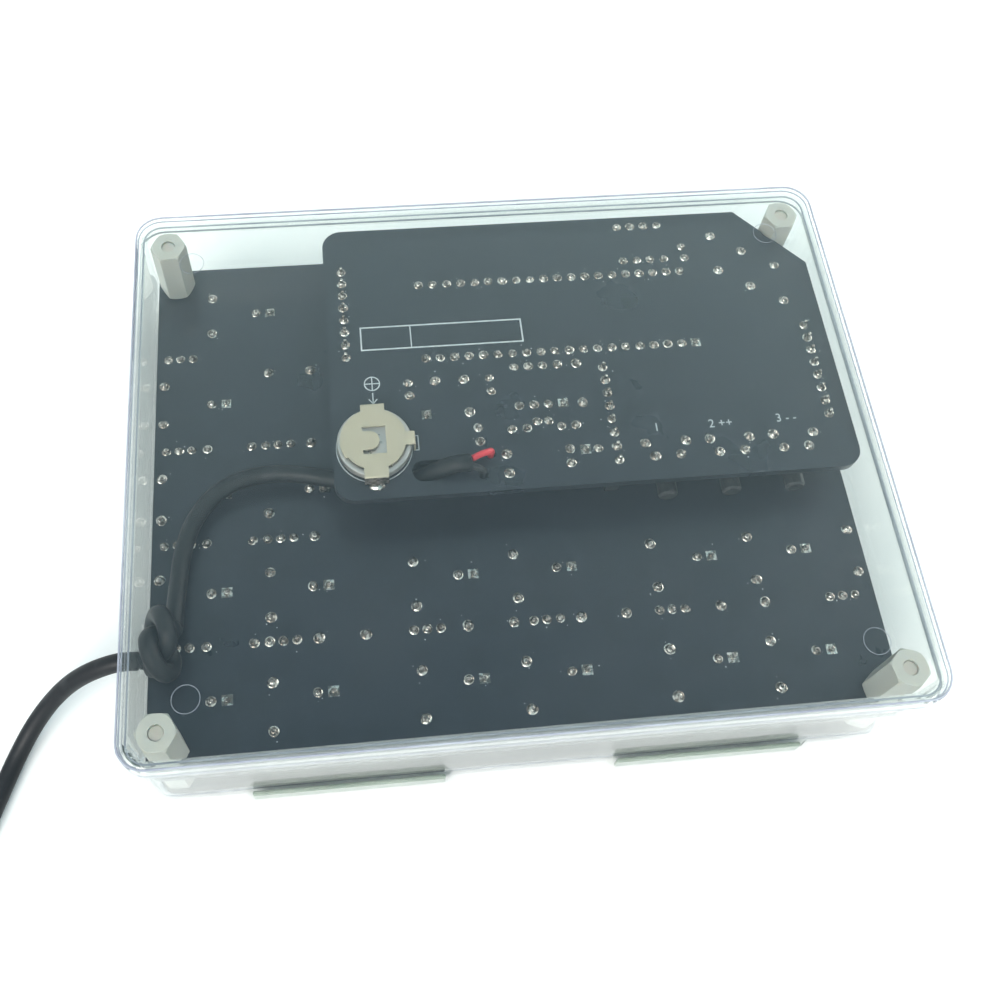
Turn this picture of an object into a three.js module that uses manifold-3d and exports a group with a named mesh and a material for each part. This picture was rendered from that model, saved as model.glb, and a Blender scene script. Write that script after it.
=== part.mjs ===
// Binary clock in a clear moulded case, lying on its face with the rear cover up.
// Millimetres, +Z up. The origin is the middle of the front face, which is the floor.
// +X is right and +Y is up in the rear view. Touching pieces keep the gap called seat.

import * as THREE from 'three';
import { mergeVertices } from 'three/addons/utils/BufferGeometryUtils.js';
import loadManifold from 'manifold-3d';

const wasm = await loadManifold();
wasm.setup();

// Fits shared by all pieces
const seat = 0.3;
const overrun = 1;
const pitch = 2.54;
const turn = Math.PI * 2;

// Circuit boards
const boardWidth = 120.4;
const boardHeight = 92.4;
const boardThickness = 1.6;
const controlWidth = 89.4;
const controlHeight = 53.7;
const controlCorner = 3.5;
const chamferWidth = 11.4;
const chamferHeight = 12.3;
const boardGap = 8.6;

// Case and cover
const caseWall = 0.8;
const caseSlip = 0.3;
const frontPlate = 1.6;
const caseCorner = 3.6;
const caseEdge = 1.5;
const caseDraft = 0.12;
const innerEdge = 0.9;
const coverWall = 0.7;
const coverSlip = 0.3;
const coverPlate = 1.4;
const coverEdge = 1.1;
const skirtDepth = 5;
const markRadius = 2.1;
const markDepth = 0.15;
const markInset = 10;
const padLength = 33;
const padHeight = 4;
const padSpread = 59;
const padBevel = 1.2;

// Stand-offs and spacers, all of one hexagon bar
const hexFlats = 5.5;
const hexBevel = 0.35;
const standoffLength = 13.2;
const spacerLength = 10.2;
const studRadius = 1.45;
const studGrip = 4.5;
const studSlip = 0.35;
const studHole = studRadius + studSlip;
const threadHole = 1.25;
const threadDepth = 6;
const cornerInset = 3.6;

// Levels, from the front face up
const mainFront = frontPlate + seat + spacerLength + seat;
const mainRear = mainFront + boardThickness;
const controlFront = mainRear + boardGap;
const controlRear = controlFront + boardThickness;
const coverInner = mainRear + seat + standoffLength + seat;
const coverTop = coverInner + coverPlate;
const rimTop = coverInner - seat;
const skirtEnd = coverTop - skirtDepth;

// Plan sizes, from the main board out
const cavityWidth = boardWidth + 2 * caseSlip;
const cavityHeight = boardHeight + 2 * caseSlip;
const caseWidth = cavityWidth + 2 * caseWall;
const caseHeight = cavityHeight + 2 * caseWall;
const coverWidth = caseWidth + 2 * (coverSlip + coverWall);
const coverHeight = caseHeight + 2 * (coverSlip + coverWall);
const boardCorner = caseCorner - caseWall - caseSlip;
const controlLeft = boardWidth / 2 - controlWidth;
const controlLow = boardHeight / 2 - controlHeight;

// Solder joints
const jointRadius = 0.85;
const jointTop = 0.35;
const jointHeight = 0.6;

// Shapes and solids

function solid(geometry) {
  const plain = geometry.clone();
  plain.deleteAttribute('normal');
  plain.deleteAttribute('uv');
  const merged = mergeVertices(plain, 1e-4);
  const vertProperties = Float32Array.from(merged.attributes.position.array);
  const triVerts = Uint32Array.from(merged.index.array);
  return new wasm.Manifold(new wasm.Mesh({ numProp: 3, vertProperties, triVerts }));
}

function joined(first, ...others) {
  return others.reduce((sum, other) => sum.add(other), first);
}

function cut(body, ...tools) {
  return tools.reduce((rest, tool) => rest.subtract(tool), body);
}

function geometryOf(body) {
  const mesh = body.getMesh();
  const geometry = new THREE.BufferGeometry();
  const points = new THREE.Float32BufferAttribute(mesh.vertProperties, mesh.numProp);
  geometry.setAttribute('position', points);
  geometry.setIndex(Array.from(mesh.triVerts));
  return geometry;
}

function boxSolid(x0, x1, y0, y1, z0, z1) {
  const geometry = new THREE.BoxGeometry(x1 - x0, y1 - y0, z1 - z0);
  return solid(geometry.translate((x0 + x1) / 2, (y0 + y1) / 2, (z0 + z1) / 2));
}

function rodSolid(x, y, z0, z1, lowRadius, highRadius, sides, spin = 0) {
  const geometry = new THREE.CylinderGeometry(highRadius, lowRadius, z1 - z0, sides);
  return solid(geometry.rotateX(Math.PI / 2).rotateZ(spin).translate(x, y, (z0 + z1) / 2));
}

function slab(shape, z0, z1, curveSegments = 6) {
  const geometry = new THREE.ExtrudeGeometry(shape, { depth: z1 - z0, bevelEnabled: false, curveSegments });
  return solid(geometry.translate(0, 0, z0));
}

// A lathe profile of [radius, height] that starts and ends on the axis, turned about Z
function turned(profile, sides, x, y, spin = 0) {
  const points = profile.map(([radius, height]) => new THREE.Vector2(radius, height));
  const geometry = new THREE.LatheGeometry(points, sides);
  return solid(geometry.rotateX(Math.PI / 2).rotateZ(spin).translate(x, y, 0));
}

function roundedRectangle(x0, x1, y0, y1, radius) {
  const shape = new THREE.Shape();
  shape.moveTo(x0 + radius, y0);
  shape.lineTo(x1 - radius, y0);
  shape.absarc(x1 - radius, y0 + radius, radius, -turn / 4, 0);
  shape.lineTo(x1, y1 - radius);
  shape.absarc(x1 - radius, y1 - radius, radius, 0, turn / 4);
  shape.lineTo(x0 + radius, y1);
  shape.absarc(x0 + radius, y1 - radius, radius, turn / 4, turn / 2);
  shape.lineTo(x0, y0 + radius);
  shape.absarc(x0 + radius, y0 + radius, radius, turn / 2, turn * 3 / 4);
  return shape;
}

// A rounded rectangle carried up a profile of [inset, level]: the form of a moulded tray
function moulded(width, height, corner, profile, cornerSteps = 5) {
  const positions = [];
  const faces = [];
  const count = 4 * (cornerSteps + 1);
  for (const [inset, level] of profile) {
    const radius = Math.max(corner - inset, corner / 8);
    for (let quarter = 0; quarter < 4; quarter++) {
      const signX = quarter === 0 || quarter === 3 ? 1 : -1;
      const signY = quarter < 2 ? 1 : -1;
      for (let step = 0; step <= cornerSteps; step++) {
        const angle = (quarter + step / cornerSteps) * turn / 4;
        const x = signX * (width / 2 - inset - radius) + radius * Math.cos(angle);
        const y = signY * (height / 2 - inset - radius) + radius * Math.sin(angle);
        positions.push(x, y, level);
      }
    }
  }
  for (let ring = 0; ring < profile.length - 1; ring++) {
    for (let i = 0; i < count; i++) {
      const a = ring * count + i;
      const b = ring * count + (i + 1) % count;
      faces.push(a, b, b + count, a, b + count, a + count);
    }
  }
  const last = (profile.length - 1) * count;
  for (let i = 1; i < count - 1; i++) {
    faces.push(0, i + 1, i);
    faces.push(last, last + i, last + i + 1);
  }
  const geometry = new THREE.BufferGeometry();
  geometry.setAttribute('position', new THREE.Float32BufferAttribute(positions, 3));
  geometry.setIndex(faces);
  return solid(geometry);
}

// The quarter round of an edge as [inset, height] pairs, from the flat to the wall
function quarterRound(radius, steps) {
  const pairs = [];
  for (let i = 0; i <= steps; i++) {
    const angle = i / steps * turn / 4;
    pairs.push([radius * (1 - Math.sin(angle)), radius * (1 - Math.cos(angle))]);
  }
  return pairs;
}

// A round tube of few sides along a curve, with flat ends
function tubeGeometry(curve, radius, sides, steps) {
  const section = new THREE.Shape();
  for (let i = 0; i < sides; i++) {
    const angle = (i + 0.5) / sides * turn;
    section[i === 0 ? 'moveTo' : 'lineTo'](radius * Math.cos(angle), radius * Math.sin(angle));
  }
  section.closePath();
  return new THREE.ExtrudeGeometry(section, { steps, extrudePath: curve, bevelEnabled: false });
}

// The least clear gap of a wound tube to itself, between points more than one bend apart
function leastGap(curve, radius, skip) {
  const count = 1200;
  curve.arcLengthDivisions = 4 * count;
  curve.updateArcLengths();
  const points = curve.getSpacedPoints(count);
  const step = curve.getLength() / count;
  const apart = Math.ceil(skip / step);
  let least = Infinity;
  for (let i = 0; i < count; i++) {
    for (let j = i + apart; j <= count; j++) {
      least = Math.min(least, points[i].distanceTo(points[j]));
    }
  }
  return least - 2 * radius;
}

// Materials and the object

const clock = new THREE.Group();
clock.name = 'binary_clock';

const colours = {
  clearPlastic: { color: 0xdfeee6, roughness: 0.08, metalness: 0, transparent: true, opacity: 0.35 },
  boardMask: { color: 0x0b0d10, roughness: 0.35, metalness: 0 },
  nylon: { color: 0xd8cdc0, roughness: 0.45, metalness: 0 },
  blackPlastic: { color: 0x151517, roughness: 0.5, metalness: 0 },
  clipMetal: { color: 0xcdb894, roughness: 0.35, metalness: 0.9 },
  cellMetal: { color: 0xb9bbbd, roughness: 0.3, metalness: 1 },
  clearLamp: { color: 0xf2f5f8, roughness: 0.1, metalness: 0 },
  cordRubber: { color: 0x121214, roughness: 0.55, metalness: 0 },
  redWire: { color: 0xd2323a, roughness: 0.45, metalness: 0 },
};

function add(name, body, material) {
  const geometry = body.isBufferGeometry ? body : geometryOf(body);
  const mesh = new THREE.Mesh(geometry, new THREE.MeshStandardMaterial(colours[material]));
  mesh.name = name;
  clock.add(mesh);
  return mesh;
}

// Corner posts stand on one grid, shared by boards, stand-offs and spacers
const postX = boardWidth / 2 - cornerInset;
const postY = boardHeight / 2 - cornerInset;
const posts = [
  { name: 'upper_left', x: -postX, y: postY, spin: turn / 11 },
  { name: 'upper_right', x: postX, y: postY, spin: turn / 12 },
  { name: 'lower_left', x: -postX, y: -postY, spin: turn / 13 },
  { name: 'lower_right', x: postX, y: -postY, spin: turn / 36 },
];
const hexSides = 6;
const hexRadius = hexFlats / 2 / Math.cos(Math.PI / hexSides);

// Footprints are lists of joints {x, y, square}
function pinRow(x, y, count, stepX, stepY, squareAt = -1) {
  return Array.from({ length: count }, (_, i) => {
    return { x: x + i * stepX, y: y + i * stepY, square: i === squareAt };
  });
}

// A point of the control board, as shares of its width and height from the lower left corner
function onControl([shareX, shareY]) {
  return { x: controlLeft + shareX * controlWidth, y: controlLow + shareY * controlHeight };
}

// Control board layout, as shares chosen from the photographed joints
const mcuShare = [0.19, 0.479];
const lowerChipShare = [0.36, 0.286];
const upperChipShare = [0.617, 0.817];
const crystalShare = [0.203, 0.395];
const watchCrystalShare = [0.39, 0.227];
const diodeShare = [0.181, 0.275];
const headerShares = { left: [0.035, 0.831], middle: [0.534, 0.406], right: [0.958, 0.518] };
const switchShares = [[0.629, 0.126], [0.753, 0.126], [0.878, 0.126]];
const cellShare = [0.078, 0.174];

// The lead's slot lies beside the cell, and the holes of its two cores beside the slot
const slotAside = 9.66;
const slotBelow = 4.89;
const redHoleAside = 9.66;
const redHoleAbove = 2.25;
const blackHoleAside = 8.05;
const blackHoleBelow = 1.34;

const mcuPinCount = 40;
const chipPinCount = 8;
const headerPinCount = 8;
const mcuRows = 6 * pitch;
const chipRows = 3 * pitch;
const crystalLegs = 5;
const watchCrystalLegs = 2;
const diodeLegs = 7.4;

const mcuAt = onControl(mcuShare);
const lowerChipAt = onControl(lowerChipShare);
const upperChipAt = onControl(upperChipShare);
const crystalAt = onControl(crystalShare);
const watchCrystalAt = onControl(watchCrystalShare);
const diodeAt = onControl(diodeShare);
const cellAt = onControl(cellShare);
const slotAt = { x: cellAt.x + slotAside, y: cellAt.y - slotBelow };
const redHole = { x: slotAt.x + redHoleAside, y: slotAt.y + redHoleAbove };
const blackHole = { x: slotAt.x + blackHoleAside, y: slotAt.y - blackHoleBelow };

// Front case: deep tray with rounded front edges, a drafted wall and two standing pads
const cordRadius = 1.5;
const cordSlip = 0.35;
const cordHoleRadius = cordRadius + cordSlip;
const cordHoleRise = 17.6;
const cordHoleLift = 2.2;
const cordHoleY = cordHoleRise - boardHeight / 2;
const cordHoleLevel = mainRear + cordHoleLift;

function standingPad(side) {
  const pad = new THREE.Shape();
  const middle = side * padSpread / 2;
  const wallFace = -caseHeight / 2 + caseWall / 2;
  const padFace = -coverHeight / 2;
  pad.moveTo(middle - padLength / 2, wallFace);
  pad.lineTo(middle - padLength / 2, -caseHeight / 2);
  pad.lineTo(middle - padLength / 2 + padBevel, padFace);
  pad.lineTo(middle + padLength / 2 - padBevel, padFace);
  pad.lineTo(middle + padLength / 2, -caseHeight / 2);
  pad.lineTo(middle + padLength / 2, wallFace);
  pad.closePath();
  return slab(pad, caseEdge / 2, caseEdge / 2 + padHeight);
}

function frontCase() {
  const outer = quarterRound(caseEdge, 4).map(([inset, level]) => [inset + caseDraft, level]);
  const inner = quarterRound(innerEdge, 3).map(([inset, level]) => [inset + caseDraft, frontPlate + level]);
  const shell = moulded(caseWidth, caseHeight, caseCorner, [...outer, [0, rimTop]]);
  const depth = [...inner, [0, rimTop + overrun]];
  const cavity = moulded(cavityWidth, cavityHeight, caseCorner - caseWall, depth);
  const hole = new THREE.CylinderGeometry(cordHoleRadius, cordHoleRadius, 4 * caseWall, 12);
  hole.rotateZ(Math.PI / 2).translate(-caseWidth / 2, cordHoleY, cordHoleLevel);
  const body = joined(shell, standingPad(-1), standingPad(1));
  return cut(body, cavity, solid(hole));
}

add('front_case', frontCase(), 'clearPlastic');

// Rear cover: shallow tray turned over, with four round ejector marks inside
function rearCover() {
  const edge = quarterRound(coverEdge, 4).map(([inset, level]) => [inset, coverTop - level]).reverse();
  const outerCorner = caseCorner + coverSlip + coverWall;
  const shell = moulded(coverWidth, coverHeight, outerCorner, [[0, skirtEnd], ...edge]);
  const innerWidth = coverWidth - 2 * coverWall;
  const innerHeight = coverHeight - 2 * coverWall;
  const depth = [[0, skirtEnd - overrun], [0, coverInner]];
  const cavity = moulded(innerWidth, innerHeight, caseCorner + coverSlip, depth);
  const marks = [];
  for (const signX of [-1, 1]) {
    for (const signY of [-1, 1]) {
      const x = signX * (coverWidth / 2 - markInset);
      const y = signY * (coverHeight / 2 - markInset);
      marks.push(rodSolid(x, y, coverInner - overrun, coverInner + markDepth, markRadius, markRadius, 16));
    }
  }
  return cut(shell, cavity, ...marks);
}

add('rear_cover', rearCover(), 'clearPlastic');

// Stand-offs with a stud through the board, and the spacers that take it
function hexBar(post, z0, z1) {
  const length = z1 - z0;
  const bar = rodSolid(post.x, post.y, z0, z1, hexRadius, hexRadius, hexSides, post.spin);
  const flat = hexRadius - hexBevel;
  const lowEnd = [[0, z0], [flat, z0], [hexRadius, z0 + hexBevel]];
  const highEnd = [[hexRadius, z0 + length - hexBevel], [flat, z1], [0, z1]];
  const round = [...lowEnd, ...highEnd];
  return bar.intersect(turned(round, 18, post.x, post.y, post.spin));
}

for (const post of posts) {
  const foot = mainRear + seat;
  const head = foot + standoffLength;
  const studEnd = mainFront - seat - studGrip;
  const stud = rodSolid(post.x, post.y, studEnd, foot + hexBevel, studRadius, studRadius, 10);
  const bore = rodSolid(post.x, post.y, head - threadDepth, head + overrun, threadHole, threadHole, 10);
  add('rear_standoff_' + post.name, cut(joined(hexBar(post, foot, head), stud), bore), 'nylon');

  const low = frontPlate + seat;
  const high = low + spacerLength;
  const bush = rodSolid(post.x, post.y, low - overrun, high + overrun, studHole, studHole, 10);
  add('front_spacer_' + post.name, cut(hexBar(post, low, high), bush), 'nylon');
}

// Lamp cells of the main board: columns of 4, 3, 4, 3, 4 and 2 lamps, seen from behind
const lampColumnShares = [-0.4075, -0.269, -0.069, 0.0695, 0.27, 0.4075];
const lampCounts = [4, 3, 4, 3, 4, 2];
const lampPitchShare = 0.1894;
const lampPitch = boardHeight * lampPitchShare;
const lampMargin = 10.9;
const lampLow = lampMargin - boardHeight / 2;
const transistorRise = lampPitch / 2;
const resistorLegs = 3 * pitch;
const resistorDrop = 1.65;
const uprightPitchShare = 1.04;
const topTransistorRise = 0.9;
const transistorPitch = 2.2;
// Places beside a lamp, as shares of the pitch between lamps
const transistorShares = [-0.394, -0.366, -0.41, -0.235, -0.41, 0.316];
const flatResistorShares = [-0.115, -0.04, -0.026, 0.09, 0.063, 0.063];
const uprightResistorShares = [-0.554, -0.474, -0.494, -0.48, -0.508, -0.486];
const topRow = 3;

// Resistors that stand apart from the lamps, as shares of the board from its middle
const apartUprightShares = [[-0.4182, 0.3867], [0.4849, -0.2029]];
const apartFlatShares = [[-0.3345, 0.249]];

function lampCells() {
  const cells = [];
  lampColumnShares.forEach((share, column) => {
    for (let row = 0; row < lampCounts[column]; row++) {
      const x = share * boardWidth;
      const y = lampLow + row * lampPitch;
      const rise = transistorRise + (row === topRow ? topTransistorRise : 0);
      const transistor = { x: x + transistorShares[column] * lampPitch, y: y + rise };
      const flatResistor = { x: x + flatResistorShares[column] * lampPitch, y: y + transistorRise };
      const uprightY = lampLow + row * lampPitch * uprightPitchShare - resistorDrop;
      const uprightResistor = { x: x + uprightResistorShares[column] * lampPitch, y: uprightY };
      cells.push({ x, y, column, row, transistor, flatResistor, uprightResistor });
    }
  });
  return cells;
}

const cells = lampCells();

function cellJoints(cell) {
  const joints = pinRow(cell.x - pitch / 2, cell.y, 2, pitch, 0, 1);
  joints.push(...pinRow(cell.transistor.x - transistorPitch, cell.transistor.y, 3, transistorPitch, 0));
  const atEdge = cell.column === 0;
  if (cell.column < lampCounts.length - 1 && !(atEdge && cell.row === topRow)) {
    joints.push(...pinRow(cell.flatResistor.x, cell.flatResistor.y, 2, resistorLegs, 0));
  }
  if (!(atEdge && cell.row === 0)) {
    joints.push(...uprightPair(cell.uprightResistor));
  }
  return joints;
}

function uprightPair({ x, y }) {
  return pinRow(x, y - resistorLegs / 2, 2, 0, resistorLegs);
}

function onMain([shareX, shareY]) {
  return { x: shareX * boardWidth, y: shareY * boardHeight };
}

function apartJoints() {
  const flats = apartFlatShares.map(onMain).map(({ x, y }) => pinRow(x, y, 2, resistorLegs, 0));
  return [...apartUprightShares.map(onMain).map(uprightPair), ...flats].flat();
}

// A joint is a low cone of solder, fused to the board that carries it
const squareSides = 4;

function jointCone(joint, level, sides) {
  const low = level - boardThickness / 4;
  const corners = joint.square ? squareSides : sides;
  const spin = joint.square ? turn / 8 : 0;
  return rodSolid(joint.x, joint.y, low, level + jointHeight, jointRadius, jointTop, corners, spin);
}

const supplyCapacitorShare = [-0.34, 0.388];
const capacitorRadius = 3.1;
const capacitorHeight = 7;
const transistorRadius = 2.3;
const transistorHeight = 4.6;
const transistorFlat = 1.3;

// The flat-sided round body of a small transistor, standing on the front of the board
function transistorBody(place) {
  const outline = new THREE.Shape();
  const open = Math.asin(transistorFlat / transistorRadius);
  outline.absarc(0, 0, transistorRadius, -open, Math.PI + open);
  outline.closePath();
  const along = { depth: transistorHeight, bevelEnabled: false, curveSegments: 5 };
  const geometry = new THREE.ExtrudeGeometry(outline, along);
  return solid(geometry.translate(place.x, place.y, mainFront - transistorHeight + boardThickness / 4));
}

function mainBoard() {
  const halfWidth = boardWidth / 2;
  const halfHeight = boardHeight / 2;
  const outline = roundedRectangle(-halfWidth, halfWidth, -halfHeight, halfHeight, boardCorner);
  const parts = [slab(outline, mainFront, mainRear, 3)];
  const controlEdge = controlLow - lampPitch / 4;
  for (const cell of cells) {
    parts.push(transistorBody(cell.transistor));
    for (const joint of cellJoints(cell)) {
      const hidden = joint.x > controlLeft && joint.y > controlEdge;
      if (!hidden) {
        parts.push(jointCone(joint, mainRear, 4));
      }
    }
  }
  for (const joint of apartJoints()) {
    parts.push(jointCone(joint, mainRear, 4));
  }
  const { x: capX, y: capY } = onMain(supplyCapacitorShare);
  const capLow = mainFront - capacitorHeight;
  const capHigh = mainFront + boardThickness / 4;
  parts.push(rodSolid(capX, capY, capLow, capHigh, capacitorRadius, capacitorRadius, 14));
  for (const joint of pinRow(capX - pitch / 2, capY, 2, pitch, 0, 1)) {
    parts.push(jointCone(joint, mainRear, 4));
  }
  const low = mainFront - overrun;
  const high = mainRear + overrun;
  const holes = posts.map((post) => rodSolid(post.x, post.y, low, high, studHole, studHole, 12));
  return cut(joined(...parts), ...holes);
}

add('main_board', mainBoard(), 'boardMask');

// Lamps: flanged bodies with a domed end and a flat on the flange, pointing at the front plate
const lampRadius = 2.5;
const flangeRadius = 2.9;
const flangeHeight = 1;
const lampLength = 8.6;
const lampSides = 10;
const domeShares = [0.5, 1];

function lampBody(x, y) {
  const top = mainFront - seat;
  const tip = top - lampLength;
  const dome = tip + lampRadius;
  const profile = [[0, tip]];
  for (const share of domeShares) {
    const angle = share * turn / 4;
    profile.push([lampRadius * Math.sin(angle), dome - lampRadius * Math.cos(angle)]);
  }
  const flange = top - flangeHeight;
  profile.push([lampRadius, flange], [flangeRadius, flange], [flangeRadius, top], [0, top]);
  const body = turned(profile, lampSides, x, y);
  const wide = x + 2 * flangeRadius;
  const flat = boxSolid(x + lampRadius, wide, y - flangeRadius, y + flangeRadius, tip, top + overrun);
  return cut(body, flat);
}

const columnNames = ['second_unit', 'second_ten', 'minute_unit', 'minute_ten', 'hour_unit', 'hour_ten'];
for (const cell of cells) {
  add('lamp_' + columnNames[cell.column] + '_' + 2 ** cell.row, lampBody(cell.x, cell.y), 'clearLamp');
}

// Plug-in strips between the boards
const stripWidth = 2.5;
const headerHeight = 2;
const headerPin = 0.64;
const pinReach = 3.6;
const pinPocket = headerPin + 2 * seat;
const pinStand = 0.5;
const socketHeight = boardGap - headerHeight - 3 * seat;

function stripJoints(name) {
  const top = onControl(headerShares[name]);
  return pinRow(top.x, top.y, headerPinCount, 0, -pitch);
}

for (const name of Object.keys(headerShares)) {
  const pins = stripJoints(name);
  const x = pins[0].x;
  const low = pins[headerPinCount - 1].y - pitch / 2;
  const high = pins[0].y + pitch / 2;
  const half = stripWidth / 2;
  const socketTop = mainRear + seat + socketHeight;
  const socketBlock = boxSolid(x - half, x + half, low, high, mainRear + seat, socketTop);
  const pocketFloor = socketTop - pinReach - 2 * seat;
  const pockets = pins.map((pin) => rodSolid(pin.x, pin.y, pocketFloor, socketTop + overrun,
    pinPocket / Math.SQRT2, pinPocket / Math.SQRT2, 4, turn / 8));
  add('socket_strip_' + name, cut(socketBlock, ...pockets), 'blackPlastic');

  const headerTop = controlFront - seat;
  const headerLow = headerTop - headerHeight;
  const block = boxSolid(x - half, x + half, low, high, headerLow, headerTop);
  const posts = pins.map((pin) => rodSolid(pin.x, pin.y, headerLow - pinReach, headerTop - seat,
    headerPin / Math.SQRT2, headerPin / Math.SQRT2, 4, turn / 8));
  add('pin_header_' + name, joined(block, ...posts), 'blackPlastic');
}

// Controller in its socket, and the two small chips, under the control board
const mcuBodyWidth = 13.4;
const mcuBodyHeight = 3;
const mcuSocketHeight = 3.8;
const socketRail = 2.8;
const chipBodyWidth = 6.4;
const chipBodyHeight = 3.3;
const legWidth = 0.8;
const legThickness = 0.28;
const legReach = 1.4;
const bodyTaper = 0.25;
const notchRadius = 1.2;

// One leg: an arm that leaves the body level and turns up to its tip
function chipLeg(x, y, side, armLow, tipHigh) {
  const outer = y + side * legThickness / 2;
  const inner = y - side * legThickness / 2;
  const root = y - side * legReach;
  const outline = new THREE.Shape();
  outline.moveTo(root, armLow);
  outline.lineTo(outer, armLow);
  outline.lineTo(outer, tipHigh);
  outline.lineTo(inner, tipHigh);
  outline.lineTo(inner, armLow + legThickness);
  outline.lineTo(root, armLow + legThickness);
  outline.closePath();
  const leg = new THREE.ExtrudeGeometry(outline, { depth: legWidth, bevelEnabled: false });
  return solid(leg.rotateY(Math.PI / 2).rotateX(Math.PI / 2).translate(x - legWidth / 2, 0, 0));
}

function chipSolid(at, pins, rowGap, bodyWidth, bodyHeight, low, tipHigh) {
  const side = pins / 2;
  const middle = at.y + rowGap / 2;
  const x0 = at.x - pitch / 2;
  const x1 = at.x + (side - 0.5) * pitch;
  const high = low + bodyHeight;
  const belt = low + bodyHeight / 2;
  const section = new THREE.Shape();
  section.moveTo(middle - bodyWidth / 2 + bodyTaper, low);
  section.lineTo(middle + bodyWidth / 2 - bodyTaper, low);
  section.lineTo(middle + bodyWidth / 2, belt);
  section.lineTo(middle + bodyWidth / 2 - bodyTaper, high);
  section.lineTo(middle - bodyWidth / 2 + bodyTaper, high);
  section.lineTo(middle - bodyWidth / 2, belt);
  section.closePath();
  const bar = new THREE.ExtrudeGeometry(section, { depth: x1 - x0, bevelEnabled: false });
  bar.rotateY(Math.PI / 2).rotateX(Math.PI / 2).translate(x0, 0, 0);
  const legs = [];
  for (let i = 0; i < side; i++) {
    legs.push(chipLeg(at.x + i * pitch, at.y, -1, belt, tipHigh));
    legs.push(chipLeg(at.x + i * pitch, at.y + rowGap, 1, belt, tipHigh));
  }
  const notch = rodSolid(x1, middle, low - overrun, low + notchRadius / 2, notchRadius, notchRadius, 12);
  return cut(joined(solid(bar), ...legs), notch);
}

function mcuSocket() {
  const high = controlFront - seat;
  const low = high - mcuSocketHeight;
  const x0 = mcuAt.x - pitch / 2;
  const x1 = mcuAt.x + (mcuPinCount / 2 - 0.5) * pitch;
  const y0 = mcuAt.y - socketRail / 2;
  const y1 = mcuAt.y + mcuRows + socketRail / 2;
  const block = boxSolid(x0, x1, y0, y1, low, high);
  const windows = [0, 1].map((i) => {
    const from = x0 + socketRail + i * (x1 - x0 - socketRail) / 2;
    const to = from + (x1 - x0 - 3 * socketRail) / 2;
    return boxSolid(from, to, y0 + socketRail, y1 - socketRail, low - overrun, high + overrun);
  });
  const groove = legThickness / 2 + seat;
  const slots = [mcuAt.y, mcuAt.y + mcuRows].map((y) => boxSolid(mcuAt.x - pitch / 2 + seat, x1 - seat,
    y - groove, y + groove, low - overrun, high - 2 * seat));
  const notch = rodSolid(x1, (y0 + y1) / 2, low - overrun, high + overrun, notchRadius, notchRadius, 12);
  return cut(block, ...windows, ...slots, notch);
}

const mcuLow = controlFront - 2 * seat - mcuSocketHeight - mcuBodyHeight;
const mcuTip = controlFront - seat - mcuSocketHeight / 2;
const chipLow = controlFront - 2 * seat - chipBodyHeight;
const chipTip = controlFront - seat;
add('mcu_socket', mcuSocket(), 'blackPlastic');

function smallChip(at) {
  return chipSolid(at, chipPinCount, chipRows, chipBodyWidth, chipBodyHeight, chipLow, chipTip);
}

const mcuChip = chipSolid(mcuAt, mcuPinCount, mcuRows, mcuBodyWidth, mcuBodyHeight, mcuLow, mcuTip);
add('mcu', mcuChip, 'blackPlastic');
add('lower_chip', smallChip(lowerChipAt), 'blackPlastic');
add('upper_chip', smallChip(upperChipAt), 'blackPlastic');

// Crystals and rectifier diode, under the control board
const crystalWidth = 10.6;
const crystalDepth = 4.4;
const crystalHeight = 3.4;
const crystalRim = 0.35;
const watchCrystalRadius = 1;
const watchCrystalLength = 6;
const diodeRadius = 1.35;
const diodeLength = 5.2;
const diodeLead = 0.4;

function crystalCan() {
  const high = controlFront - seat;
  const x0 = crystalAt.x + crystalLegs / 2 - crystalWidth / 2;
  const x1 = x0 + crystalWidth;
  const y0 = crystalAt.y - crystalDepth / 2;
  const y1 = crystalAt.y + crystalDepth / 2;
  const round = crystalDepth / 2;
  const inset = crystalRim;
  const can = roundedRectangle(x0 + inset, x1 - inset, y0 + inset, y1 - inset, round - inset);
  const rim = roundedRectangle(x0, x1, y0, y1, round);
  return joined(slab(can, high - crystalHeight, high - inset, 3), slab(rim, high - 2 * inset, high, 3));
}

// A barrel lying along X, with one lead through it that turns up to the board at both ends
function axialDiode() {
  const high = controlFront - seat;
  const level = high - diodeRadius - seat;
  const middle = diodeAt.x + diodeLegs / 2;
  const barrel = new THREE.CylinderGeometry(diodeRadius, diodeRadius, diodeLength, 12);
  const lead = new THREE.CylinderGeometry(diodeLead, diodeLead, diodeLegs, 6);
  barrel.rotateZ(Math.PI / 2).translate(middle, diodeAt.y, level);
  lead.rotateZ(Math.PI / 2).translate(middle, diodeAt.y, level);
  const low = level - diodeLead;
  const ends = [diodeAt.x, diodeAt.x + diodeLegs].map((x) => {
    return rodSolid(x, diodeAt.y, low, high, diodeLead, diodeLead, 6);
  });
  return joined(solid(barrel), solid(lead), ...ends);
}

add('crystal', crystalCan(), 'cellMetal');
const watchX = watchCrystalAt.x + watchCrystalLegs / 2;
const watchHigh = controlFront - seat;
add('watch_crystal', rodSolid(watchX, watchCrystalAt.y, watchHigh - watchCrystalLength, watchHigh,
  watchCrystalRadius, watchCrystalRadius, 12), 'cellMetal');
add('diode', axialDiode(), 'blackPlastic');

// Side-push switches under the control board's lower edge, and their plungers
const switchWidth = 6.2;
const switchDepth = 3.7;
const switchHeight = 6.4;
const lugSpread = 7;
const lugThickness = 0.4;
const pinSpread = 4.5;
const lugDrop = 2.5;
const plungerRadius = 1.7;
const plungerReach = 4.6;
const plungerEntry = 1.4;
const plungerTravel = 0.25;
const plungerFlange = 0.35;

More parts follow.
